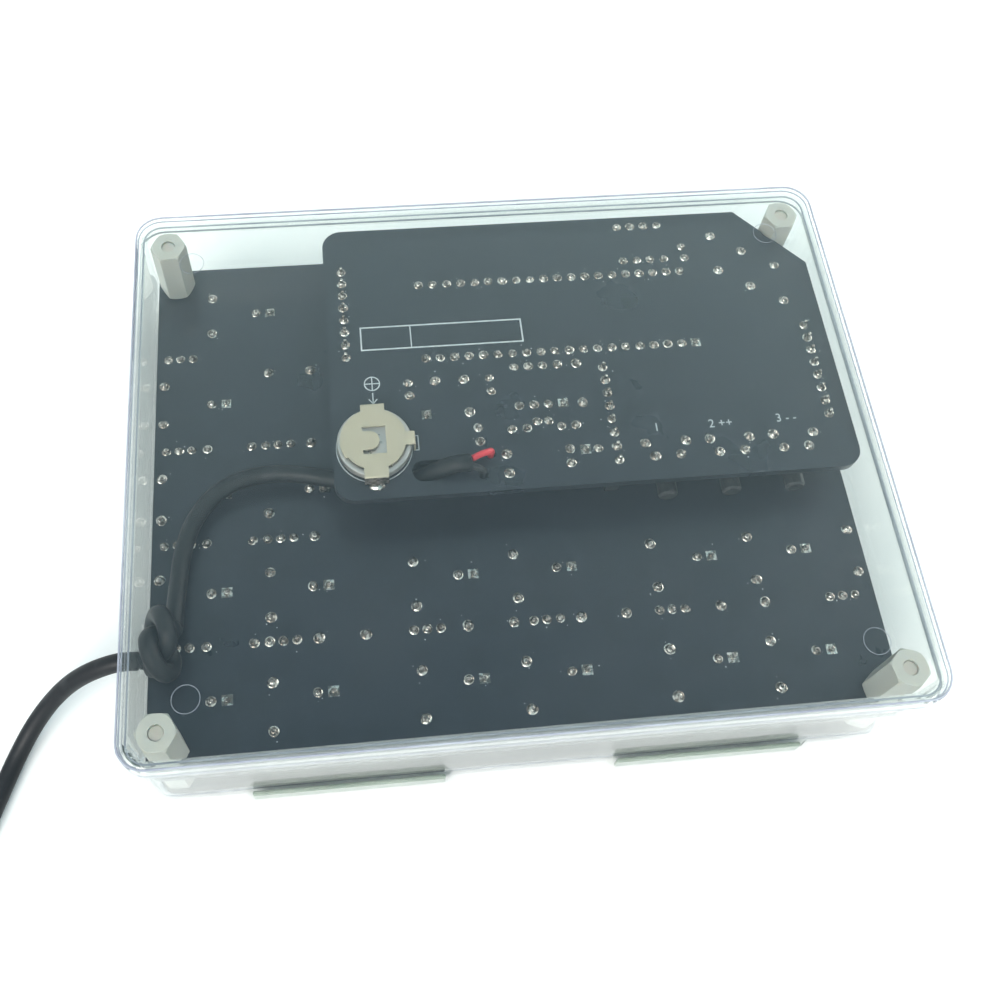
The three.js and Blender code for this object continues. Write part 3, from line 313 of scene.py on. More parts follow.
def clear_case_finish():
    """Clear polystyrene with painted grey shade along its walls and edges where they are seen edge-on, with hairline
    scratches in its gloss
    """
    made = Finish(
        "clear_case", CASE_CLEAR, 0.03, Transmission_Weight=1.0, IOR=CASE_IOR,
        Coat_Weight=1.0, Coat_IOR=1.5, Coat_Roughness=0.04)
    edge = made.node("LayerWeight", Blend=0.5).outputs["Facing"]
    # Painted shade: the colour turns grey and less light passes through where the surface is seen edge-on
    made.drives("Base Color", made.mixed(made.ramp(edge, 0.78, 0.98), CASE_CLEAR, CASE_EDGE_SHADE))
    made.drives("Transmission Weight", made.ramp(edge, 0.6, 0.98, 1.0, 0.9))
    scratches = made.ramp(made.noise(160.0, 2.0, 0.6, (9.0, 0.35, 1.0)), 0.66, 0.72)
    crossing = made.ramp(made.noise(140.0, 2.0, 0.6, (0.4, 7.0, 1.0)), 0.68, 0.74)
    made.drives("Roughness", made.math("MULTIPLY", made.math("MAXIMUM", scratches, crossing), 0.05))
    absorption = made.node("VolumeAbsorption", Density=CASE_DENSITY)
    absorption.inputs["Color"].default_value = (*colours().plastic, 1.0)
    made.link(absorption.outputs["Volume"], made.nodes["Material Output"].inputs["Volume"])
    return made


def board_mask_finish(name="board_mask"):
    """Black solder mask over faint copper tracks, with fine dust"""
    made = Finish(name, colours().mask, 0.3, Coat_Weight=0.25, Coat_Roughness=0.12)
    grid = made.node("TexVoronoi", feature="F1", distance="CHEBYCHEV", Scale=210.0)
    made.link(made.place, grid.inputs["Vector"])
    tracks = made.ramp(grid.outputs["Distance"], 0.30, 0.36)
    mask = made.mixed(tracks, tuple(colours().mask), tuple(1.2 * part for part in colours().mask))
    dust = made.ramp(made.noise(2600.0, 2.0), 0.68, 0.76, 0.0, 0.12)
    made.mask = made.mixed(dust, mask, DUST)
    made.drives("Base Color", made.mask)
    made.sheen = made.gloss(60.0, 5.0, 0.26, 0.42)
    made.drives("Roughness", made.sheen)
    return made


def main_board_finish():
    """Board mask, with black moulded parts below the board's front face"""
    made = board_mask_finish("main_board")
    below = made.math("LESS_THAN", made.axis("Z"), MAIN_FRONT - 0.02 * MM)
    made.drives("Base Color", made.mixed(below, made.mask, BLACK))
    made.drives("Roughness", made.math("ADD", made.math("MULTIPLY", below, 0.12), made.sheen))
    return made


SPECIAL_FINISHES = {
    "clear_case": clear_case_finish, "board_mask": board_mask_finish, "main_board": main_board_finish,
}
FINISHES = {}


def finish(name):
    """The material of that name, made once"""
    if name not in FINISHES:
        if name in SPECIAL_FINISHES:
            FINISHES[name] = SPECIAL_FINISHES[name]().material
        else:
            FINISHES[name] = plain_finish(name, **PLAIN_FINISHES[name]).material
    return FINISHES[name]


def black_moulding():
    return plain_finish("black_plastic", **PLAIN_FINISHES["black_plastic"])


def legged_chip_finish(centre, half_body):
    """Black moulding, with tinned legs wherever the surface lies beyond the moulded body"""
    made = black_moulding()
    leg = made.math("GREATER_THAN", made.distance_from("Y", centre), half_body + 0.02 * MM)
    return made.partly_metal(leg, TINNED)


def pinned_strip_finish(level):
    """Black moulding, with gilt pins below its lower face"""
    made = black_moulding()
    return made.partly_metal(made.math("LESS_THAN", made.axis("Z"), level), GILT)


def bracketed_switch_finish(centre, half_body, rear):
    """Black moulding in a tinned bracket, which lies behind and beside the body"""
    made = black_moulding()
    beside = made.math("GREATER_THAN", made.distance_from("X", centre), half_body)
    behind = made.math("GREATER_THAN", made.axis("Y"), rear)
    return made.partly_metal(made.math("MAXIMUM", beside, behind), TINNED)


# Mesh helpers

def as_mesh(bm, name):
    mesh = bpy.data.meshes.new(name)
    bm.to_mesh(mesh)
    bm.free()
    return mesh


def added(name, data):
    """A new object in the scene"""
    made = bpy.data.objects.new(name, data)
    bpy.context.collection.objects.link(made)
    return made


def piece(name, bm, materials, body="clock_body", smooth=True, sharp=35.0):
    """A finished object of a bmesh, riding on its body"""
    mesh = as_mesh(bm, name)
    made = added(name, mesh)
    for item in materials.split():
        mesh.materials.append(finish(item))
    if smooth:
        mesh.shade_smooth()
        mesh.set_sharp_from_angle(angle=math.radians(sharp))
    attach(made, body)
    return made


def dress(node, material):
    """Gives a solid its finish"""
    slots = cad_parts[node].data.materials
    slots.clear()
    slots.append(material)


def spun(bm, profile, steps, scale=MM):
    """Turns a profile of (radius, height) points about Z, joined all round"""
    verts = [bm.verts.new((radius * scale, 0, height * scale)) for radius, height in profile]
    edges = [bm.edges.new(pair) for pair in zip(verts, verts[1:])]
    bmesh.ops.spin(
        bm, geom=verts + edges, cent=(0, 0, 0), axis=UP, angle=TURN, steps=steps, use_merge=True)
    bmesh.ops.remove_doubles(bm, verts=bm.verts[:], dist=0.002 * MM)


def outward(bm):
    bmesh.ops.recalc_face_normals(bm, faces=bm.faces[:])


def faces_of(verts):
    return list({face for vert in verts for face in vert.link_faces})


def block(bm, low, high, bevel=0.0, segments=2, index=0):
    """A box between two corners, with its edges rounded"""
    verts = bmesh.ops.create_cube(bm, size=1.0)["verts"]
    low, high = Vector(low), Vector(high)
    bmesh.ops.scale(bm, vec=high - low, verts=verts)
    bmesh.ops.translate(bm, vec=(low + high) / 2, verts=verts)
    for face in faces_of(verts):
        face.material_index = index
    if bevel:
        edges = list({edge for vert in verts for edge in vert.link_edges})
        bmesh.ops.bevel(
            bm, geom=edges, offset=bevel, segments=segments, affect="EDGES", profile=0.5, material=-1)


def raised(bm, faces, step):
    """Draws faces out by a step, and returns the new vertices"""
    made = bmesh.ops.extrude_face_region(bm, geom=faces)["geom"]
    verts = [item for item in made if isinstance(item, bmesh.types.BMVert)]
    bmesh.ops.translate(bm, verts=verts, vec=step)
    return verts


def looped(bm, places):
    """The vertices and the edges of a closed line"""
    verts = [bm.verts.new(place) for place in places]
    return verts, [bm.edges.new((verts[i - 1], verts[i])) for i in range(len(verts))]


def rod(bm, start, end, radius, index):
    """A round rod between two points"""
    along = end - start
    verts = bmesh.ops.create_cone(
        bm, cap_ends=True, segments=8, radius1=radius, radius2=radius, depth=along.length)["verts"]
    turn = along.to_track_quat("Z", "Y").to_matrix().to_4x4()
    bmesh.ops.transform(bm, matrix=Matrix.Translation((start + end) / 2) @ turn, verts=verts)
    for face in faces_of(verts):
        face.material_index = index


def scatter(bm, template, matrices):
    """Adds a copy of a template mesh at each matrix"""
    for matrix in matrices:
        first = len(bm.verts)
        bm.from_mesh(template)
        bm.verts.ensure_lookup_table()
        bmesh.ops.transform(bm, matrix=matrix, verts=bm.verts[first:])


def turned(angle, axis="Z"):
    return Matrix.Rotation(angle, 4, axis)


def blend(first, second, start, end, now):
    return first * (end - now) / (end - start) + second * (now - start) / (end - start)


def smooth_curve(points, per_span):
    """Points of a smooth line through the given points, spaced by the root of their distances"""
    points = [Vector(p) for p in points]
    padded = [2 * points[0] - points[1], *points, 2 * points[-1] - points[-2]]
    line = []
    for a, b, c, d in zip(padded, padded[1:], padded[2:], padded[3:]):
        t0 = 0.0
        t1 = t0 + max((b - a).length, 1e-9) ** 0.5
        t2 = t1 + max((c - b).length, 1e-9) ** 0.5
        t3 = t2 + max((d - c).length, 1e-9) ** 0.5
        for step in range(per_span):
            t = t1 + (t2 - t1) * step / per_span
            before, here, after = blend(a, b, t0, t1, t), blend(b, c, t1, t2, t), blend(c, d, t2, t3, t)
            line.append(blend(blend(before, here, t0, t2, t), blend(here, after, t1, t3, t), t1, t2, t))
    line.append(points[-1])
    return line


def tube(name, line, radius, material, resolution):
    """A round cord along a line, as a curve of one open spline"""
    data = bpy.data.curves.new(name, "CURVE")
    data.dimensions = "3D"
    data.bevel_depth = radius
    data.bevel_resolution = resolution
    data.use_fill_caps = True
    spline = data.splines.new("POLY")
    spline.points.add(len(line) - 1)
    for point, place in zip(spline.points, line):
        point.co = (*place, 1.0)
    spline.use_smooth = True
    made = added(name, data)
    data.materials.append(finish(material))
    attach(made, "clock_body")
    return made


# Route of the lead, as in the solids
CASE_LEFT = -61.3 * MM
HOLE_Y = -28.6 * MM
HOLE_Z = 16.2 * MM
CORD_R = 1.5 * MM

KNOT_SCALE = 1.52 * MM
KNOT_RING = 2.2
KNOT_OPENING = 0.15
KNOT_POINTS = 30
KNOT_CENTRE = Vector((-57.35, -27.4, 19.4)) * MM
INSIDE_ROUTE = [
    (-55.6, -20.4, 17.2), (-55.3, -16, 16.5), (-54.5, -10.5, 16.6), (-52.4, -5.2, 16.8), (-48.6, -1, 17),
    (-43.5, 1.1, 17.2), (-37.1, 1.2, 17.4), (-30.7, -0.2, 17.6), (-24.6, -2, 17.8), (-19.4, -2.9, 18.5),
    (-15.2, -3.1, 21.2), (-11.6, -3.1, 24.6), (-9, -3, 26), (-6.6, -2.9, 26),
]
OUTSIDE_ROUTE = [
    (-70.3, -29.2, 13.2), (-75.4, -30.6, 8.2), (-79.6, -33.8, 4.2), (-82.7, -38.4, 2), (-85, -44, 1.6),
    (-88, -51.4, 1.6), (-92.4, -58.2, 1.6),
]
COIL_TURNS = 3
COIL_PITCH = 3.65 * MM
COIL_INNER = 11.5 * MM
COIL_LIFT = 3.6 * MM
COIL_STEPS = 24
COIL_SPAN = 2 * COIL_TURNS + 0.5
COIL_COUNT = int(COIL_SPAN * COIL_STEPS)
COIL_LEAD = 10.5 * MM
COIL_CENTRE = Vector((-120.74, -52, 1.6)) * MM
COIL_ENTRY = -0.72


def knot_point(share):
    """A place on the overhand knot, which winds twice round a ring as it weaves three times through it"""
    angle = TURN * (KNOT_OPENING / 2 + share * (1 - KNOT_OPENING))
    reach = KNOT_RING + math.cos(3 * angle)
    across = KNOT_SCALE * reach * math.cos(2 * angle)
    along = KNOT_SCALE * reach * math.sin(2 * angle)
    through = KNOT_SCALE * math.sin(3 * angle)
    return KNOT_CENTRE + Vector((through, along, -across))


def inside_line():
    start = [Vector((CASE_LEFT, HOLE_Y, HOLE_Z)), Vector((CASE_LEFT + CORD_R, HOLE_Y, HOLE_Z))]
    knot = [knot_point(1 - i / KNOT_POINTS) for i in range(KNOT_POINTS + 1)]
    route = [Vector(p) * MM for p in INSIDE_ROUTE]
    return smooth_curve(start + knot + route, 4)


def coil_point(step):
    """A place on the coil: inwards on the floor, then up a layer and outwards again"""
    turns = step / COIL_STEPS
    climb = min(max((turns - COIL_TURNS) * 2, 0.0), 1.0)
    radius = COIL_INNER + COIL_PITCH * abs(turns - COIL_SPAN / 2)
    angle = COIL_ENTRY - turns * TURN
    return COIL_CENTRE + Vector((radius * math.cos(angle), radius * math.sin(angle), COIL_LIFT * climb))


def coil_line():
    run = [coil_point(step) for step in range(COIL_COUNT + 1)]
    first = run[0] + (run[0] - run[1]).normalized() * 2 * CORD_R
    last = run[-1] + (run[-1] - run[-2]).normalized() * COIL_LEAD
    return smooth_curve([first, *run, last], 2)


def outside_line():
    backward = (coil_point(0) - coil_point(1)).normalized()
    meet = coil_point(0) + backward * 2 * CORD_R + backward * SEAT
    leave = [Vector((CASE_LEFT - SEAT - out, HOLE_Y, HOLE_Z)) for out in (0, 2 * CORD_R)]
    route = [Vector(p) * MM for p in OUTSIDE_ROUTE]
    return smooth_curve([*leave, *route, meet + backward * 2 * CORD_R, meet], 5) + coil_line()


def plug_place():
    """Matrix that puts the plug's own X axis along the end of the coil"""
    last = coil_point(COIL_COUNT)
    axis = (last - coil_point(COIL_COUNT - 1)).normalized()
    base = last + axis * (COIL_LEAD + SEAT)
    return Matrix.Translation(base) @ turned(math.atan2(axis.y, axis.x)), base.z


# The camera solved from the photograph, and the light
CAMERA_PLACE = (-26.53, -86.23, 209.52)
CAMERA_TURN = (30.774, -2.69, -5.52)
CAMERA_LENS = 43.93
CAMERA_SHIFT = (0.0484, -0.1659)
LIGHTS = (("key", (-0.55, -0.75, 0.95), 0.8, 16.0), ("window", (0.75, 0.35, 0.4), 0.5, 5.0))
LIGHT_COLOUR = (1.0, 0.94, 0.89)
FLOOR_COLOUR = (0.96, 0.96, 0.955)
# Colour of the sky at rising heights on the unit sphere
SKY_STOPS = [
    (0.5, (0.80, 0.90, 0.93)), (0.8, (0.72, 0.96, 1.0)), (0.94, (0.36, 0.50, 0.57)), (0.98, (0.23, 0.35, 0.42)),
]
SKY_STRENGTH = 1.15


class CLOCK_OT_stage(bpy.types.Operator):
    """Makes the camera, the soft studio light and the pale floor"""

    bl_idname = "clock.stage"
    bl_label = "Stage"

    def execute(self, context):
        data = bpy.data.cameras.new("camera")
        data.sensor_width = 36
        data.lens = CAMERA_LENS
        data.shift_x, data.shift_y = CAMERA_SHIFT
        data.clip_start = 0.01
        camera = added("camera", data)
        camera.location = Vector(CAMERA_PLACE) * MM
        camera.rotation_euler = [math.radians(angle) for angle in CAMERA_TURN]
        context.scene.camera = camera

        world = context.scene.world or bpy.data.worlds.new("studio")
        context.scene.world = world
        world.use_nodes = True
        self.sky(world.node_tree)
        context.scene.view_settings.view_transform = "Standard"

        for name, place, size, power in LIGHTS:
            light = bpy.data.lights.new(name, "AREA")
            light.size = size
            light.energy = power
            light.color = LIGHT_COLOUR
            lamp = added(name, light)
            lamp.location = place
            lamp.rotation_euler = (-Vector(place)).to_track_quat("-Z", "Y").to_euler()

        bm = bmesh.new()
        bmesh.ops.create_grid(bm, x_segments=1, y_segments=1, size=2.0)
        floor = added("floor", as_mesh(bm, "floor"))
        floor.data.materials.append(Finish("pale_floor", FLOOR_COLOUR, 0.7).material)
        return {"FINISHED"}

    def sky(self, tree):
        """A soft box of light, dimmer and bluer right overhead than low down"""
        background = tree.nodes["Background"]
        where = tree.nodes.new("ShaderNodeTexCoord")
        split = tree.nodes.new("ShaderNodeSeparateXYZ")
        tree.links.new(where.outputs["Generated"], split.inputs[0])
        ramp = tree.nodes.new("ShaderNodeValToRGB")
        stops = ramp.color_ramp.elements
        for height, _ in SKY_STOPS[1:-1]:
            stops.new(height)
        for stop, (height, colour) in zip(stops, SKY_STOPS):
            stop.position = height
            stop.color = (*colour, 1.0)
        tree.links.new(split.outputs["Z"], ramp.inputs["Fac"])
        tree.links.new(ramp.outputs["Color"], background.inputs["Color"])
        background.inputs["Strength"].default_value = SKY_STRENGTH


# The plug, in millimetres along its own X axis from the lead's end
NECK = [
    (1.75, 0.0), (1.9, 0.4), (1.9, 1.2), (1.7, 1.5), (2.0, 1.8), (2.0, 2.7), (1.8, 3.0), (2.2, 3.3), (2.2, 4.2),
    (2.0, 4.5), (2.5, 4.8), (2.5, 5.7), (2.3, 6.0), (2.9, 6.4), (4.2, 8.2), (4.6, 9.6),
]
GRIP_START, GRIP_END, GRIP_HALF = 9, 24, 7.6
RIBS, RIB_START, RIB_PITCH, RIB_WIDE, RIB_HALF, RIB_RISE = 5, 13, 1.9, 0.8, 4.6, 0.12
SHELL_START, SHELL_END, SHELL_HALF, SHELL_RISE = 24.3, 36.8, 6.0, 2.25


class CLOCK_OT_lead(bpy.types.Operator):
    """Makes the power lead outside the case, with its coil, and its plug"""

    bl_idname = "clock.lead"
    bl_label = "Power lead"

    def execute(self, context):
        line = outside_line()
        lead = tube("power_lead", line, sizes().cord_radius, "sheath", 4)
        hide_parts("cord", "cord_coil")
        place, level = plug_place()
        grip = self.grip(place, level)
        shell = self.shell(place)
        return {"FINISHED"}

    def grip(self, place, level):
        """Moulded grip with a ribbed neck, and ribs for the fingers"""
        half = (level - SEAT / 2) / MM
        bm = bmesh.new()
        block(bm, mm(GRIP_START, -GRIP_HALF, -half), mm(GRIP_END, GRIP_HALF, half), 1.6 * MM, 4)
        part = bmesh.new()
        spun(part, [(0.0, 0.0), *NECK, (0.0, NECK[-1][1])], 28)
        bmesh.ops.rotate(part, verts=part.verts[:], matrix=Matrix.Rotation(TURN / 4, 3, "Y"))
        outward(part)
        template = as_mesh(part, "grip_neck")
        scatter(bm, template, [Matrix.Identity(4)])
        bpy.data.meshes.remove(template)
        for side in (-1, 1):
            for rib in range(RIBS):
                x = RIB_START + RIB_PITCH * rib
                low = mm(x, -RIB_HALF, side * half - RIB_RISE)
                block(bm, low, mm(x + RIB_WIDE, RIB_HALF, side * half + RIB_RISE), 0.1 * MM)
        bmesh.ops.transform(bm, matrix=place, verts=bm.verts[:])
        made = piece("plug_grip", bm, "black_plastic")
        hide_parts("usb_grip")
        return made

    def shell(self, place):
        """Folded steel shell with two spring windows on each side, drawn as black patches of painted shade, and its
        contact tongue
        """
        bm = bmesh.new()
        block(bm, mm(SHELL_START, -SHELL_HALF, -SHELL_RISE), mm(SHELL_END, SHELL_HALF, SHELL_RISE))
        long_edges = [e for e in bm.edges if abs(e.verts[0].co.x - e.verts[1].co.x) > MM]
        bmesh.ops.bevel(
            bm, geom=long_edges, offset=0.9 * MM, segments=4, affect="EDGES", profile=0.5, material=-1)
        mouth = [f for f in bm.faces if f.normal.x > 0.9]
        bmesh.ops.delete(bm, geom=mouth, context="FACES_ONLY")
        bmesh.ops.solidify(bm, geom=bm.faces[:], thickness=0.4 * MM)
        outward(bm)
        block(bm, mm(SHELL_START + 0.9, -5.0, -1.5), mm(SHELL_END - 0.9, 5.0, 0.35), 0.15 * MM, 2, 1)
        for middle in (-3.5, -1.0, 1.0, 3.5):
            low = mm(SHELL_START + 3.0, middle - 0.5, 0.3)
            block(bm, low, mm(SHELL_END - 1.8, middle + 0.5, 0.42), 0.05 * MM, 1, 2)
        # Black patches stand for the spring windows: painted shade in the openings
        for middle in (-2.9, 2.9):
            for low in (-2.28, 2.2):
                corner = mm(SHELL_START + 5, middle - 1.0, low)
                block(bm, corner, mm(SHELL_START + 7.2, middle + 1.0, low + 0.08), 0.03 * MM, 1, 1)
        bmesh.ops.transform(bm, matrix=place, verts=bm.verts[:])
        made = piece("plug_shell", bm, "cell_metal black_plastic pin_gold")
        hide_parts("usb_plug")
        return made


# Cores of the lead: name, node, side, hole in the board in millimetres, slot
CORES = (
    ("red_core", "wire_red", 1, (-2.92, -0.79), "red_wire"),
    ("black_core", "wire_black", -1, (-4.53, -4.39), "cord_rubber"),
)
CORE_LEVEL = 26.0


class CLOCK_OT_inner_lead(bpy.types.Operator):
    """Makes the lead inside the case, with its knot and its two cores"""

    bl_idname = "clock.inner_lead"
    bl_label = "Lead inside the case"

    def execute(self, context):
        sheath = tube("inner_lead", inside_line(), sizes().cord_radius * 0.985, "sheath", 5)
        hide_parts("cord_inside")
        radius = sizes().core_radius / MM
        for name, node, side, (x, y), slot in CORES:
            start = Vector((-6.3, -2.9 + side * (radius + 0.15), CORE_LEVEL))
            route = [
                start, Vector(((start.x + x) / 2, (start.y + y) / 2, CORE_LEVEL)),
                Vector((x - radius, y - side * radius / 2, CORE_LEVEL - radius / 2)),
                Vector((x, y, 24.2 + 2 * radius)), Vector((x, y, 22.9)),
            ]
            line = smooth_curve([p * MM for p in route], 8)
            core = tube(name, line, sizes().core_radius, name, 4)
            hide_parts(node)
        return {"FINISHED"}


# Beads of painted grey shade in the clear moulding: half width, half height, corner radius, level, bead radius and
# middle, in millimetres
COVER_SHADE_BEADS = [
    (61.98, 47.98, 4.28, 28.85, 0.17, (0, 0)),
    (61.75, 47.75, 4.05, 27.95, 0.12, (0, 0)),
    (61.98, 47.98, 4.28, 24.5, 0.17, (0, 0)),
    *((2.1, 2.1, 2.09, 28.0, 0.04, (x, y)) for x in (-52.3, 52.3) for y in (-38.3, 38.3)),
]
CASE_SHADE_BEADS = [(60.9, 46.9, 3.2, 27.3, 0.15, (0, 0)), (60.0, 46.0, 2.6, 0.5, 0.25, (0, 0))]
BEAD_SIDES = 8
CORNER_STEPS = 8
PAD_SPREAD = 29.5
PAD_HALF = 15.4
# Grains of frost: how many, the middle they lie round, and between which angles in degrees, reaches,
# levels and sizes in millimetres
FROST_GRAINS = 60
FROST_CENTRE = (-57.7, -43.7)
FROST_ANGLES = (188, 262)
FROST_REACH = (2.2, 3.3)
FROST_LEVELS = (27.9, 28.8)
FROST_SIZES = (0.05, 0.15)


def rounded_loop(half_x, half_y, corner, level):
    """Points round a rectangle with round corners"""
    points = []
    for quarter, (side_x, side_y) in enumerate(((1, 1), (-1, 1), (-1, -1), (1, -1))):
        centre = Vector((side_x * (half_x - corner), side_y * (half_y - corner), level))
        for step in range(CORNER_STEPS + 1):
            angle = (quarter + step / CORNER_STEPS) * TURN / 4
            points.append(centre + corner * Vector((math.cos(angle), math.sin(angle), 0)))
    return points


class CLOCK_OT_case(bpy.types.Operator):
    """Gives the case and the cover their clear plastic"""

    bl_idname = "clock.case"
    bl_label = "Clear case"

    def execute(self, context):
        for node in ("front_case", "rear_cover"):
            dress(node, finish("clear_case"))
        self.edges("cover_edges", "cover", COVER_SHADE_BEADS)
        self.edges("case_edges", "clock_body", CASE_SHADE_BEADS)
        bm = bmesh.new()
        for middle in (-PAD_SPREAD, PAD_SPREAD):
            block(bm, mm(middle - PAD_HALF, -48.1, 1.0), mm(middle + PAD_HALF, -47.5, 4.5), 0.2 * MM)
        piece("pad_cores", bm, "plastic_pad")
        self.frost()
        return {"FINISHED"}

    def frost(self):
        """Crazed plastic in one corner of the cover, as grains inside its edge"""
        draw = random.Random("frost")
        bm = bmesh.new()
        for _ in range(FROST_GRAINS):
            angle, reach = math.radians(draw.uniform(*FROST_ANGLES)), draw.uniform(*FROST_REACH)
            x, y = FROST_CENTRE[0] + reach * math.cos(angle), FROST_CENTRE[1] + reach * math.sin(angle)
            place = Vector((x, y, draw.uniform(*FROST_LEVELS))) * MM
            size = draw.uniform(*FROST_SIZES) * MM
            bmesh.ops.create_icosphere(bm, subdivisions=1, radius=size, matrix=Matrix.Translation(place))
        piece("cover_frost", bm, "ink", body="cover")

    def edges(self, name, body, loops):
        """Fine beads of painted grey shade inside the moulding's edges, where thick clear plastic looks grey"""
        bm = bmesh.new()
        turns = [step / BEAD_SIDES * TURN for step in range(BEAD_SIDES)]
        for half_x, half_y, corner, level, radius, middle in loops:
            loop = rounded_loop(half_x * MM, half_y * MM, corner * MM, level * MM)
            path = [point + Vector((*middle, 0)) * MM for point in loop]
            rings = []
            for index, point in enumerate(path):
                along = (path[(index + 1) % len(path)] - path[index - 1]).normalized()
                out = along.cross(UP)
                rings.append([
                    bm.verts.new(point + radius * MM * (math.cos(a) * out + math.sin(a) * UP)) for a in turns])
            for first, second in zip(rings, rings[1:] + rings[:1]):
                for step in range(BEAD_SIDES):
                    after = (step + 1) % BEAD_SIDES
                    bm.faces.new((first[step], first[after], second[after], second[step]))
        outward(bm)
        piece(name, bm, "plastic_edge", body=body, sharp=80.0)


LEVEL_SLACK = 0.02 * MM
CORNER_SLACK = 0.05 * MM
JOINT_REACH = 0.9 * MM
TRANSISTOR_REACH = 2.35 * MM
CHIP_REACH = 2.7 * MM


def joint_places(node, level):
    """Middle of each solder cone on a board, read from the corners of its top, and whether its pad is square"""
    groups = []
    top = level + JOINT_TOP
    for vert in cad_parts[node].data.vertices:
        if abs(vert.co.z - top) > LEVEL_SLACK:
            continue
        flat = vert.co.xy
        for group in groups:
            if (group[0] - flat).length < JOINT_REACH:
                if all((known - flat).length > CORNER_SLACK for known in group):
                    group.append(flat.copy())
                break
        else:
            groups.append([flat.copy()])
    places = []
    for group in groups:
        middle = sum(group, Vector((0, 0))) / len(group)
        arm = max((corner - middle for corner in group), key=lambda step: step.length)
        places.append((middle, len(group) == 5 and abs(abs(arm.x) - abs(arm.y)) < CORNER_SLACK))
    return places


def joint_radius(middle, square, places):
    """Transistor joints stand closest and are small, chip joints are middling, and lone ones are large"""
    nearest = min((other - middle).length for other, _ in places if other is not middle)
    full = sizes().joint_radius
    if square:
        return 0.92 * full
    if nearest < TRANSISTOR_REACH:
        return 0.88 * full
    return 0.9 * full if nearest < CHIP_REACH else full


# Radius (of 1 at the foot) and height (as a share) of a joint's flank above its pad
FLANK = ((0.56, 0.58), (0.44, 0.78), (0.36, 0.82), (0.3, 0.8))
LEAD_RADIUS = 0.3
SQUARE_HALF = 0.98
PIN_HALF = 0.27 * MM
PIN_RISE = 1.7 * MM
# How far the joints differ: in radius, tilt in degrees, roundness and height
JOINT_RADII = (0.95, 1.04)
JOINT_TILTS = (-6, 6)
JOINT_ROUND = (0.93, 1.0)
JOINT_TALL = (0.8, 1.1)
# Specks: how many by a joint, how far from it and how large, in millimetres, and how long for their width.
# They keep off the board's border and off its cut corner.
SPECK_COUNTS = (0, 1, 1, 2)
SPECK_REACH = (1.1, 2.1)
SPECK_SIZES = (0.05, 0.11)
SPECK_LONG = (0.8, 1.7)
SPECK_MARGIN = 0.02
SPECK_DIAGONAL = {"main_board": 2.0, "control_board": 1.55}


